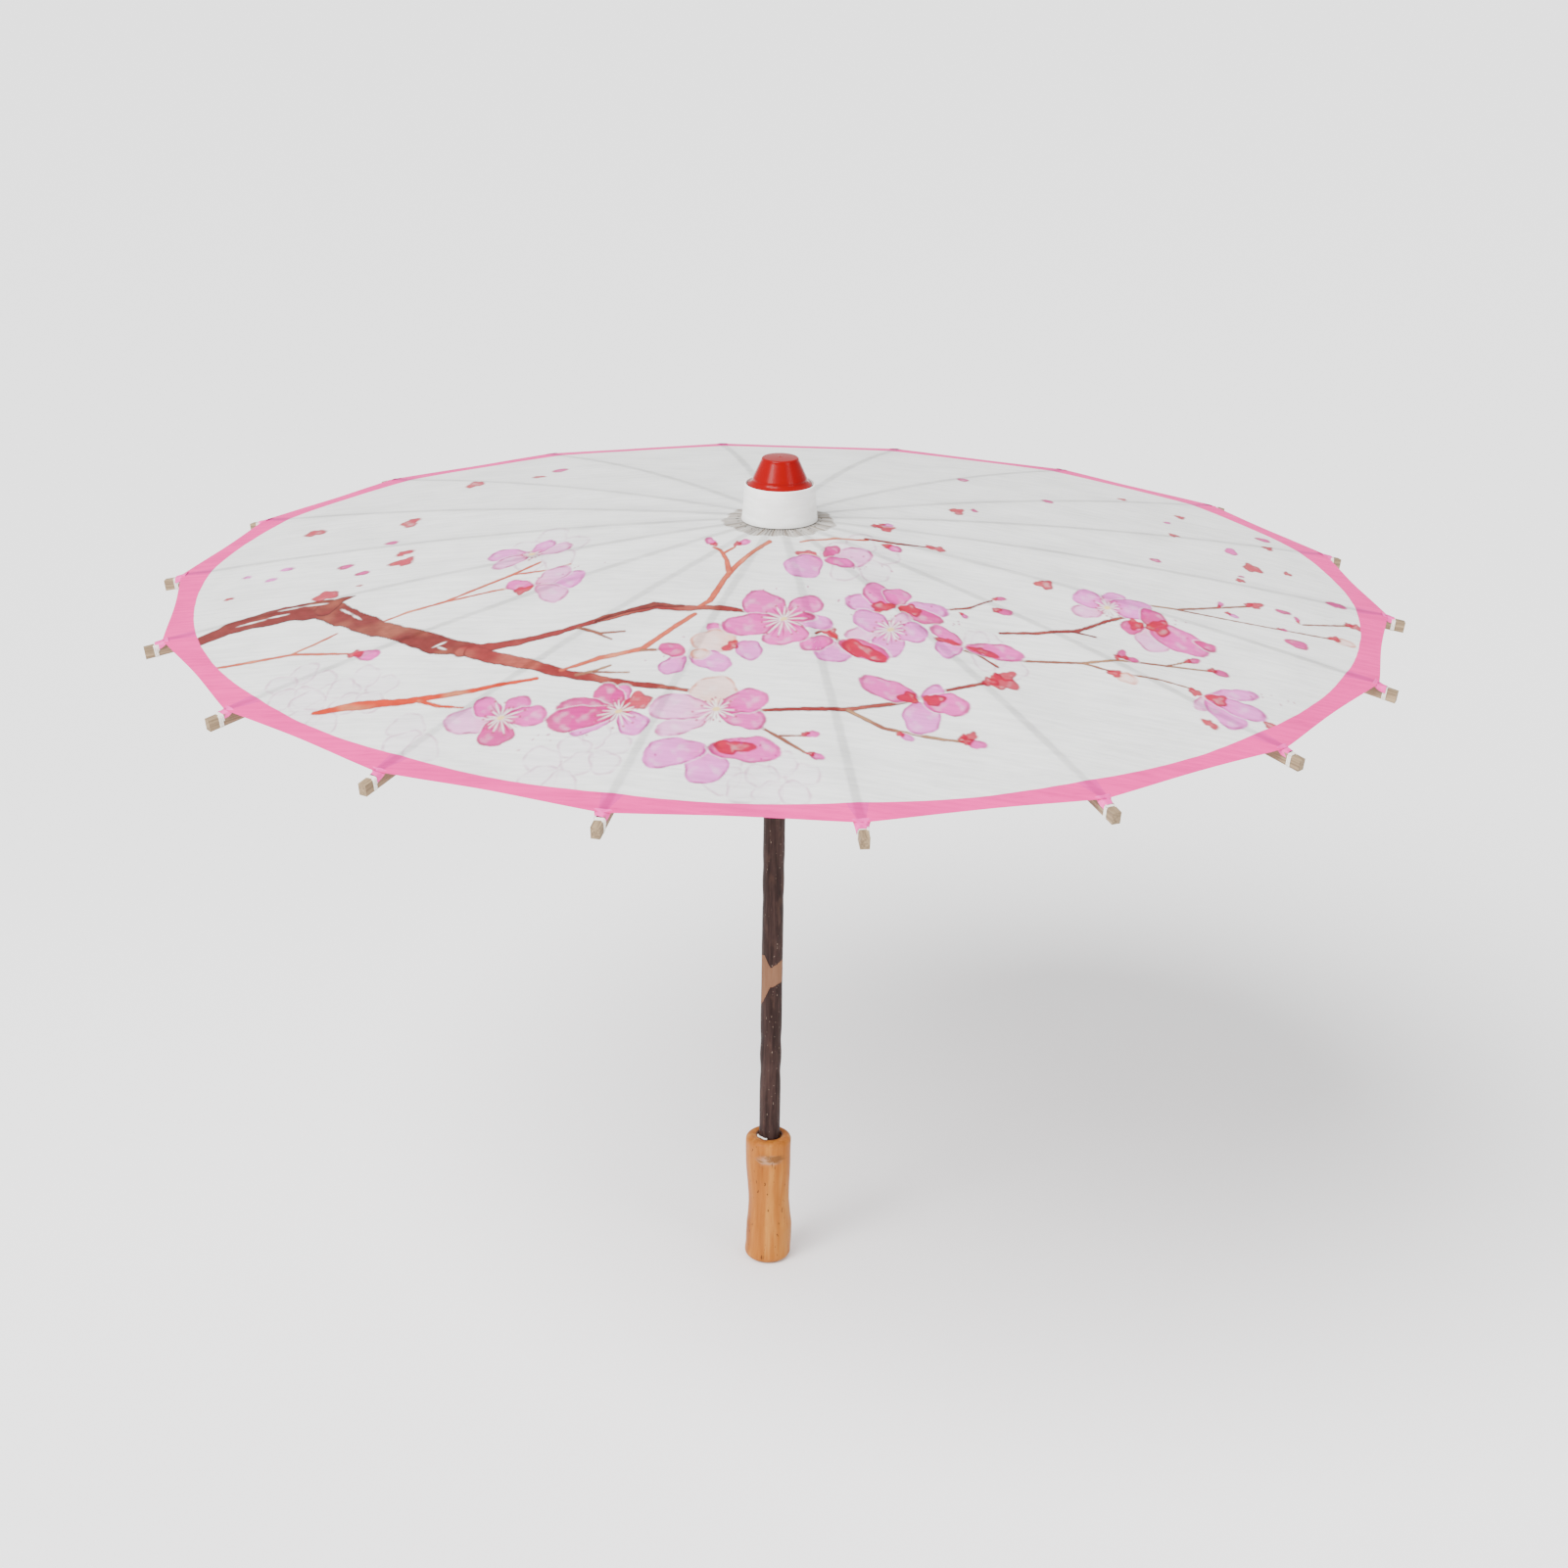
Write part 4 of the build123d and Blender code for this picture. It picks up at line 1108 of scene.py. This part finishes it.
@dataclass
class RibLine:
    """Where the bent ribs lie; the paper follows them."""

    tip_radius: float = 0.42
    slope: float = math.radians(8.0)
    bow: float = 0.007
    rib_top: float = 0.0035
    pivot_radius: float = field(init=False)
    pivot_height: float = field(init=False)
    length: float = field(init=False)
    bend: float = field(init=False)

    def __post_init__(self) -> None:
        """Reads the pivot from the frame and works out the bend's radius."""
        hinge = next(joint for joint in frame["joints"] if joint["name"] == "rib_01_hinge")
        self.pivot_radius, _, self.pivot_height = hinge["pos_m"]
        reach = self.tip_radius - self.pivot_radius - self.rib_top * math.sin(self.slope)
        self.length = reach / math.cos(self.slope)
        self.bend = self.length**2 / (8 * self.bow) + self.bow / 2

    def rise(self, along: np.ndarray) -> np.ndarray:
        """Height of the rib's middle line over the straight line from pivot to tip (an arc)."""
        return np.sqrt(self.bend**2 - (along - self.length / 2) ** 2) - (self.bend - self.bow)

    def top(self, radius: np.ndarray) -> np.ndarray:
        """Height of the rib's upper face at a distance from the axis."""
        level = radius - self.pivot_radius
        over = (self.rise(level / math.cos(self.slope)) + self.rib_top) / math.cos(self.slope)
        return self.pivot_height + over - level * math.tan(self.slope)

    def point(self, along: np.ndarray, up: np.ndarray) -> tuple[np.ndarray, np.ndarray]:
        """Distance from the axis and height of a place on the rib, from the pivot outwards."""
        over = self.rise(np.asarray(along)) + up
        radius = self.pivot_radius + along * math.cos(self.slope) + over * math.sin(self.slope)
        height = self.pivot_height - along * math.sin(self.slope) + over * math.cos(self.slope)
        return radius, height


@dataclass
class Canopy:
    """The painted paper, one gore for each rib, meeting halfway between ribs."""

    ribs: RibLine
    finish: bpy.types.Material
    design: BlossomDesign
    hole_radius: float = 0.0231
    edge_radius: float = 0.408
    lift: float = 0.0007
    sag: float = 0.0013
    hollow: float = 0.0014
    pleat_depth: float = 0.00035
    edge_lift: float = 0.0010
    folded_share: float = 0.1

    def build(self) -> None:
        """Makes every gore; they stand for the canopy node together."""
        gores = [self._gore(number) for number in range(RIBS)]
        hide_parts("canopy")
        for gore in gores[1:]:
            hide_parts("canopy")
        LOG.info("canopy: %d gores", len(gores))

    def _gore(self, number: int) -> bpy.types.Object:
        """One gore.

        Across the gore, a runs from -1 to 1 between the lines halfway to the next ribs; along
        it, s runs from the hole to the edge. The paper is flat between ribs, so its height is
        that of the rib line at r cos(half - |angle|) / cos(half), less a sag between the ribs.

        Args:
            number: which rib it lies on, from 0.

        Returns:
            The piece.
        """
        azimuth = number * PITCH
        painted = math.sin(azimuth - 0.35) < 0.25
        rows, cols = (420, 165) if painted else (230, 91)
        across = np.linspace(-1, 1, cols)[None, :]
        along = np.linspace(0, 1, rows)[:, None]
        half = PITCH / 2
        angle = across * half
        bowl = (1 - np.cos(math.pi * np.abs(across))) / 2
        ratio = np.cos(half - np.abs(angle)) / math.cos(half)
        edge = self.edge_radius / ratio - self.hollow * bowl
        radius = self.hole_radius + (edge - self.hole_radius) * along
        x, y = radius * np.cos(azimuth + angle), radius * np.sin(azimuth + angle)
        sag = self.sag * bowl * np.sin(math.pi * np.clip(along, 0, 1)) ** 0.8
        soft = 0.00022 * ripple(x, y, 0.05, 0.7) * smooth_step(0.03, 0.12, radius)
        turn = np.arctan2(y, x)
        pleats = self.pleat_depth * np.sin(turn * 90) * smooth_step(0.038, 0.034, radius)
        flare = self.edge_lift * smooth_step(0.384, 0.412, radius * ratio)
        z = self.ribs.top(radius * ratio) + self.lift - sag + soft * bowl + pleats + flare
        points = np.stack([x, y, np.broadcast_to(z, x.shape)], -1).reshape(-1, 3)
        piece = make_piece(f"gore_{number + 1:02d}", points, grid_faces(rows, cols), self.finish)
        if piece.data.polygons[0].normal.z < 0:
            piece.data.flip_normals()
        flat_x, flat_y = x.ravel(), y.ravel()
        tint = self.design.paint(flat_x, flat_y) * self._crown(flat_x, flat_y)
        add_attribute(piece, "tint", tint)
        add_attribute(piece, "aside", (radius * np.sin(angle)).ravel())
        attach(piece, f"rib_{number + 1:02d}")
        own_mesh(piece)
        width = 2 * self.edge_radius * math.tan(half)
        length = self.edge_radius - self.hole_radius
        area = math.tan(half) * (self.edge_radius**2 - self.hole_radius**2)
        length * 1.012
        return piece

    @staticmethod
    def _crown(x: np.ndarray, y: np.ndarray) -> np.ndarray:
        """Tint of the pleated, double layer round the collar, with its row of pinholes painted as dark dots
        of shade.
        """
        radius, turn = np.hypot(x, y), np.arctan2(y, x)
        uneven = 0.0012 * np.sin(7 * turn) + 0.0008 * np.sin(17 * turn + 1)
        ring = smooth_step(0.0378, 0.0366, radius + uneven)
        streak = 0.5 + 0.5 * np.sin(turn * 60 + 1.4 * np.sin(turn * 23)) * np.sin(turn * 37)
        shade = ring * (0.58 + 0.42 * streak)
        warm = np.array([0.27, 0.215, 0.17])
        tint = 1 - shade[:, None] * (1 - warm)
        # Painted shade: the pinholes are dark dots on whole paper, standing in for the shade seen through
        # real holes.
        pinhole_shade = smooth_step(0.55, 0.80, np.sin(turn * 62 + 0.5 * np.sin(turn * 9)))
        pinhole_shade = pinhole_shade * smooth_step(0.0009, 0.0004, np.abs(radius - 0.0282 - 0.0006 * np.sin(turn * 31)))
        return tint * (1 - 0.85 * pinhole_shade[:, None])


@dataclass
class RibTrim:
    """The folded paper and thread at each rib's end, and the thread at its stretcher."""

    ribs: RibLine
    paper: bpy.types.Material
    thread: bpy.types.Material
    cuff_start: float = 0.4045
    cuff_end: float = 0.4118
    elbow_along: float = 0.19
    half_width: float = 0.0027

    def build(self) -> None:
        """Makes the trim of every rib."""
        for number in range(RIBS):
            self._cuff(number)
            self._windings(number)
        LOG.info("rib trim: %d cuffs and windings", RIBS)

    def _placed(self, number: int, radius: np.ndarray, aside: np.ndarray, z: np.ndarray) -> np.ndarray:
        """Points from distance along the rib's azimuth, sideways distance and height."""
        turn = number * PITCH
        x = radius * math.cos(turn) - aside * math.sin(turn)
        y = radius * math.sin(turn) + aside * math.cos(turn)
        return np.stack([x, y, z], -1)

    def _cuff(self, number: int) -> None:
        """Paper folded over the rib's end: an arch whose section is a rounded square.

        Across the section, t runs from -1 to 1 over the arch; aside is the half width times
        t's rounded square root sine, and the drop grows as t^4.
        """
        dice = np.random.default_rng(100 + number)
        rows, cols = 14, 25
        along = np.linspace(0, 1, rows)[:, None]
        across = np.linspace(-1, 1, cols)[None, :]
        reach = self.cuff_end + dice.uniform(-0.0012, 0.0014)
        lean = dice.uniform(-0.0008, 0.0008)
        radius = self.cuff_start + (reach - self.cuff_start) * along + 0 * across
        wide = self.half_width + 0.0005 + 0.0022 * (1 - along) ** 2
        aside = wide * np.sign(across) * np.abs(across) ** 0.7 + lean * along
        drop = (0.0028 + 0.0012 * along) * np.abs(across) ** 5 * smooth_step(-0.2, 0.5, along)
        ragged = 0.0003 * ripple(radius, aside, 0.003, number)
        z = self.ribs.top(radius) + 0.0019 - 0.0008 * along - drop + ragged
        points = self._placed(number, radius, aside, np.broadcast_to(z, radius.shape)).reshape(-1, 3)
        piece = make_piece(f"cuff_{number + 1:02d}", points, grid_faces(rows, cols), self.paper)
        if piece.data.polygons[cols // 2].normal.z < 0:
            piece.data.flip_normals()
        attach(piece, f"rib_{number + 1:02d}")

    @staticmethod
    def _squared(wave: np.ndarray) -> np.ndarray:
        """A sine or cosine made blunt: its sign times its size to the power 0.35."""
        return np.sign(wave) * np.abs(wave) ** 0.35

    def _windings(self, number: int) -> None:
        """Turns of thread round the rib: at its end and on both sides of the stretcher's pin.

        Each winding is a helix on a rounded square: aside and up are cos and sin of the angle,
        raised to the power 0.35 and scaled to the rib's half sizes.
        """
        dice = np.random.default_rng(200 + number)
        parts = []
        tip = self.ribs.length - 0.0095 + dice.uniform(-0.0008, 0.0008)
        for start, turns, gap in (
            (tip, 3.2, 0.0009), (self.elbow_along - 0.0058, 4, 0.0008),
            (self.elbow_along + 0.0026, 4, 0.0008),
        ):
            angle = np.linspace(0, 2 * math.pi * turns, int(28 * turns))
            along = start + gap * angle / (2 * math.pi)
            aside = (self.half_width + 0.00035) * self._squared(np.cos(angle))
            down = 0.0044 if start < 0.3 else 0.0036
            middle, reach = (0.0035 - down) / 2, (0.0035 + down) / 2 + 0.0003
            radius, z = self.ribs.point(along, middle + reach * self._squared(np.sin(angle)))
            parts.append(swept_ring(self._placed(number, radius, aside, z), 0.00042, 6))
        points, faces = joined(parts)
        piece = make_piece(f"windings_{number + 1:02d}", points, faces, self.thread)
        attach(piece, f"rib_{number + 1:02d}")


@dataclass
class Crown:
    """The collar and the cap over the hub."""

    collar_finish: bpy.types.Material
    cap_finish: bpy.types.Material
    cap_wall: float = 0.0016

    def build(self) -> None:
        """Makes the collar and the cap."""
        self._collar()
        self._cap()
        LOG.info("crown: collar and cap")

    def _collar(self) -> None:
        """Slightly tapered cup of paper with a soft top edge and a wavy foot."""
        low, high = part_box("paper_collar")
        foot_r, top_r, bore = high.x, high.x - 0.0018, 0.0080
        wall = 0.0009
        rim_z, soft = high.z + 0.0019, 0.0006
        t = np.linspace(0, 1, 30)
        side = np.stack([foot_r + (top_r - foot_r) * t - 0.0003 * np.sin(math.pi * t),
                         low.z + (rim_z - soft - low.z) * t], -1)
        corner = np.linspace(0, math.pi, 11)[1:]
        brow = np.stack([top_r - soft + soft * np.cos(corner), rim_z - soft + soft * np.sin(corner)], -1)
        deck = np.array([[top_r - 0.0013, high.z - 0.0001], [bore, high.z - 0.0001], [bore, high.z - wall]])
        inner = np.array([[top_r - 0.0022, high.z - wall], [top_r - wall, high.z - 0.0022],
                          [foot_r - wall, low.z]])
        profile = np.vstack([side, brow, deck, inner, side[:1]])
        around = 180
        turn = np.linspace(0, 2 * math.pi, around, endpoint=False)[None, :]
        height = profile[:, 1:]
        wobble = 1 + 0.006 * ripple(turn * 0.02 + 0 * height, height + 0 * turn, 0.012, 2.0)
        wobble = wobble + 0.004 * np.sin(turn * 3 + 1)
        wobble[len(side) + len(brow):] = 1 + 0.004 * np.sin(turn * 3 + 1)
        points, faces = turned(profile, around, wobble=wobble)
        piece = make_piece("collar_cup", points, faces, self.collar_finish)
        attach(piece, "root")
        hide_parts("paper_collar")

    def _cap(self) -> None:
        """Flared cone with a rounded brow, a slightly domed top and a small moulding point."""
        low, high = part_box("finial_cap")
        rim_r, flank_r, top_r = high.x, 0.0182, 0.0125
        z0, z1 = low.z, high.z
        t = np.linspace(0, 1, 14)
        flare = np.stack([flank_r + (rim_r - flank_r) * (1 - t) ** 2.2, z0 + 0.0012 + 0.0040 * t], -1)
        rise = np.linspace(0, 1, 16)[1:]
        flank = np.stack([flank_r + (top_r - flank_r) * rise,
                          z0 + 0.0052 + (z1 - 0.0024 - z0 - 0.0052) * rise], -1)
        corner = np.linspace(0.12, math.pi / 2, 9)[1:]
        brow = np.stack([top_r - 0.0014 + 0.0014 * np.cos(corner), z1 - 0.0024 + 0.0014 * np.sin(corner)], -1)
        out = np.linspace(1, 0, 12)[1:]
        crown_r = out * (top_r - 0.0014)
        moulding = 0.0005 * np.exp(-(crown_r / 0.0006) ** 2)
        crown = np.stack([crown_r, z1 - 0.0010 + 0.0004 * (1 - out**2) + moulding], -1)
        lip = np.array([[rim_r - self.cap_wall, z0], [rim_r - 0.0002, z0], [rim_r, z0 + 0.0004]])
        inner = np.array([[0, z1 - 0.0030], [top_r - 0.0030, z1 - 0.0034], [flank_r - 0.0017, z0 + 0.0048]])
        profile = np.vstack([inner, lip, flare, flank, brow, crown])
        points, faces = turned(profile, 128)
        piece = make_piece("cap_shell", points, faces, self.cap_finish)
        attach(piece, "root")
        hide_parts("finial_cap")


@dataclass
class Stick:
    """The shaft and the handle."""

    bark: bpy.types.Material
    wood: bpy.types.Material
    glue: bpy.types.Material
    runner_room: float = 1.008

    def build(self) -> None:
        """Makes the shaft, the handle and the bead of glue between them."""
        self._shaft()
        self._handle()
        LOG.info("stick: shaft, handle and glue")

    def _shaft(self) -> None:
        """Round stick with a slightly uneven radius and slow swellings, stepped at its top."""
        low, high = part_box("shaft")
        radius, step_z, spigot = high.x, 0.5883, 0.0060
        z = np.linspace(low.z, step_z, 420)
        around = 64
        turn = np.linspace(0, 2 * math.pi, around, endpoint=False)[None, :]
        hidden = smooth_step(0.37, 0.35, z)[:, None]
        swell = 0.009 * np.sin(z * 41 + 0.6) + 0.007 * np.sin(z * 97 + 2) - 0.004
        bumps = 0.010 * ripple(turn * 0.012 + 0 * z[:, None], z[:, None] + 0 * turn, 0.009, 3.3)
        for height, size in ((0.165, 0.030), (0.300, 0.015)):
            swell = swell + size * np.exp(-(((z - height) / 0.0055) ** 2))
            for step in (-0.0125, 0.0125):
                swell = swell - 1.9 * size * np.exp(-(((z - height - step) / 0.0060) ** 2))
        wobble = np.minimum(1 - 0.012 * hidden + hidden * (swell[:, None] + bumps), self.runner_room)
        top = np.array([[spigot, step_z + 0.0002], [spigot, high.z - 0.0008],
                        [spigot - 0.0008, high.z], [0, high.z]])
        profile = np.vstack([[[0, low.z]], np.stack([np.full(z.size, radius), z], -1), top])
        wobble = np.vstack([np.ones((1, around)), wobble, np.ones((4, around))])
        points, faces = turned(profile, around, wobble=wobble)
        piece = make_piece("shaft_stick", points, faces, self.bark)
        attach(piece, "root")
        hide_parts("shaft")

    def _handle(self) -> None:
        """Waisted grip, a little bent and lumpy, with a bore at its top."""
        _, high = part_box("handle")
        length, end_r = high.z, high.x
        z = np.linspace(0.0045, length - 0.004, 120)
        waist = 0.0016 * np.exp(-(((z - 0.050) / 0.021) ** 2))
        band = smooth_step(0.024, 0.034, z)
        body = np.stack([end_r - waist * band, z], -1)
        low_corner = np.linspace(-math.pi / 2, 0, 10)[:-1]
        foot = np.stack([end_r - 0.0045 + 0.0045 * np.cos(low_corner),
                         0.0045 + 0.0045 * np.sin(low_corner)], -1)
        high_corner = np.linspace(0, math.pi / 2, 10)[1:]
        lip = np.stack([end_r - 0.004 + 0.004 * np.cos(high_corner),
                        length - 0.004 + 0.004 * np.sin(high_corner)], -1)
        bore = np.array([[0.0094, length], [0.0086, length - 0.0008], [0.0083, length - 0.004],
                         [0.0, length - 0.0045]])
        profile = np.vstack([[[0, 0]], foot, body, lip, bore])
        around = 96
        turn = np.linspace(0, 2 * math.pi, around, endpoint=False)[None, :]
        height = profile[:, 1:]
        lumps = 0.020 * ripple(turn * 0.016, height, 0.022, 1.1)
        lumps = lumps + 0.006 * ripple(turn * 0.016, height, 0.007, 5.0)
        calm = smooth_step(0.004, 0.012, height) * smooth_step(0.0090, 0.0120, profile[:, :1])
        wobble = 1 - 0.012 * calm + lumps * calm
        sway = np.stack([0.0007 * np.sin(profile[:, 1] * 55), 0.0005 * np.sin(profile[:, 1] * 48 + 1)], -1)
        bend = sway * smooth_step(0, 0.01, profile[:, 1:])
        points, faces = turned(profile, around, bend=bend * calm, wobble=wobble)
        piece = make_piece("handle_grip", points, faces, self.wood)
        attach(piece, "root")
        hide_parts("handle")
        self._glue_bead(length)

    def _glue_bead(self, height: float) -> None:
        """Short run of dried glue on the front left of the joint."""
        angle = np.linspace(math.radians(196), math.radians(262), 26)
        swell = 0.0085 + 0.0003 * np.sin(angle * 9)
        path = np.stack([swell * np.cos(angle), swell * np.sin(angle),
                         np.full(angle.size, height + 0.0001)], -1)
        points, faces = swept_ring(path, 0.0007, 8)
        piece = make_piece("glue_bead", points, faces, self.glue)
        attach(piece, "root")


@dataclass
class Frame:
    """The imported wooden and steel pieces, which keep their shape and get their finishes."""

    bamboo: bpy.types.Material
    pale_bamboo: bpy.types.Material
    hub: bpy.types.Material
    thread: bpy.types.Material
    steel: bpy.types.Material

    def dress(self) -> None:
        """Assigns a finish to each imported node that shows."""
        finishes = {"top_hub": self.hub, "runner": self.hub, "hub_pin": self.pale_bamboo,
                    "hub_thread": self.thread, "runner_thread": self.thread, "runner_catch": self.steel}
        for number in range(1, RIBS + 1):
            finishes[f"rib_{number:02d}"] = self.bamboo
            finishes[f"stretcher_{number:02d}"] = self.pale_bamboo
        for node, finish in finishes.items():
            for slot in frame["nodes"][node].material_slots:
                slot.material = finish
        LOG.info("frame: %d packed pieces dressed", len(finishes))


# ---- the studio -----------------------------------------------------------------------------


@dataclass(frozen=True)
class Studio:
    """Pale floor, soft lights and the camera."""

    distance: float = 1.92
    aim_height: float = 0.3743
    turn: float = math.radians(3.3)
    pitch: float = math.radians(21.4)
    yaw: float = math.radians(-0.2)
    roll: float = math.radians(1.0)
    focal_mm: float = 63.55

    def build(self) -> None:
        """Makes the floor, the world, the lights and the camera."""
        self._floor()
        self._world()
        self._lights()
        self._camera()

    @staticmethod
    def _floor() -> None:
        """One large pale square under the handle."""
        reach = 60.0
        corners = np.array([[-reach, -reach, 0], [reach, -reach, 0], [reach, reach, 0], [-reach, reach, 0.0]])
        sheet = NodeSheet("pale_floor")
        floor = make_piece("floor", corners - [0, 0, 0.0004], [(0, 1, 2, 3)],
                           sheet.dress(Base_Color=(0.93, 0.93, 0.93), Roughness=0.9))

    @staticmethod
    def _world() -> None:
        """Even white surroundings."""
        world = bpy.data.worlds.new("studio")
        world.use_nodes = True
        background = world.node_tree.nodes["Background"]
        background.inputs[0].default_value = (1.0, 1.0, 1.0, 1.0)
        background.inputs[1].default_value = 1.15
        bpy.context.scene.world = world

    @staticmethod
    def _lights() -> None:
        """A broad sun from the upper left, and two panels for the highlights."""
        for name, kind, place, size, power in (
            ("sun", "SUN", (-1.3, -1.6, 3.0), math.radians(40), 6.2),
            ("key", "AREA", (-1.5, -1.6, 1.7), 0.7, 26.0),
            ("fill", "AREA", (1.9, -1.5, 1.5), 0.9, 16.0),
        ):
            lamp = bpy.data.lights.new(name, kind)
            lamp.energy = power
            setattr(lamp, "angle" if kind == "SUN" else "size", size)
            light = bpy.data.objects.new(name, lamp)
            light.location = place
            light.rotation_euler = (Vector((0, 0, 0.45)) - Vector(place)).to_track_quat("-Z", "Y").to_euler()
            bpy.context.scene.collection.objects.link(light)

    def _camera(self) -> None:
        """Camera in front of the umbrella, a little above it and looking down."""
        camera = bpy.data.objects.new("camera", bpy.data.cameras.new("camera"))
        camera.data.lens, camera.data.sensor_width = self.focal_mm, 36.0
        camera.data.clip_start, camera.data.clip_end = 0.05, 200.0
        orbit = Matrix.Rotation(self.turn, 4, "Z")
        away = Vector((0, -self.distance * math.cos(self.pitch), self.distance * math.sin(self.pitch)))
        place = orbit @ away + Vector((0, 0, self.aim_height))
        look = Matrix.Rotation(self.turn + self.yaw, 4,
                               "Z") @ Matrix.Rotation(math.pi / 2 - self.pitch, 4, "X")
        look = look @ Matrix.Rotation(self.roll, 4, "Z")
        camera.matrix_world = Matrix.Translation(place) @ look
        bpy.context.scene.collection.objects.link(camera)
        bpy.context.scene.camera = camera


def main() -> None:
    """Builds the umbrella's looks, piece by piece, and the studio round it."""
    logging.basicConfig(level=logging.INFO, format="%(name)s: %(message)s")
    Studio().build()
    ribs = RibLine()
    paper = OiledPaper().make()
    thread = PlainFinish("waxed_thread", (0.72, 0.69, 0.62), (0.86, 0.84, 0.79), 0.7).make()
    pink_paper = PlainFinish("pink_paper", (0.66, 0.02, 0.25), (0.80, 0.05, 0.34), 0.6, 300.0).make()
    Canopy(ribs, paper, BlossomDesign()).build()
    RibTrim(ribs, pink_paper, thread).build()
    Crown(CollarPaper().make(), RedPlastic().make()).build()
    glue = PlainFinish("dried_glue", (0.70, 0.66, 0.58), (0.82, 0.79, 0.72), 0.3, 500.0).make()
    Stick(DarkBark().make(), HoneyWood().make(), glue).build()
    Frame(
        Bamboo().make(), Bamboo("pale_bamboo", (0.42, 0.31, 0.18), (0.22, 0.15, 0.085)).make(),
        TurnedWood("hub_wood", (0.38, 0.26, 0.14), (0.19, 0.12, 0.06)).make(), thread,
        PlainFinish("spring_steel", (0.45, 0.45, 0.44), (0.60, 0.60, 0.58), 0.3, 700.0, 1.0).make(),
    ).dress()


if __name__ == "__main__":
    main()
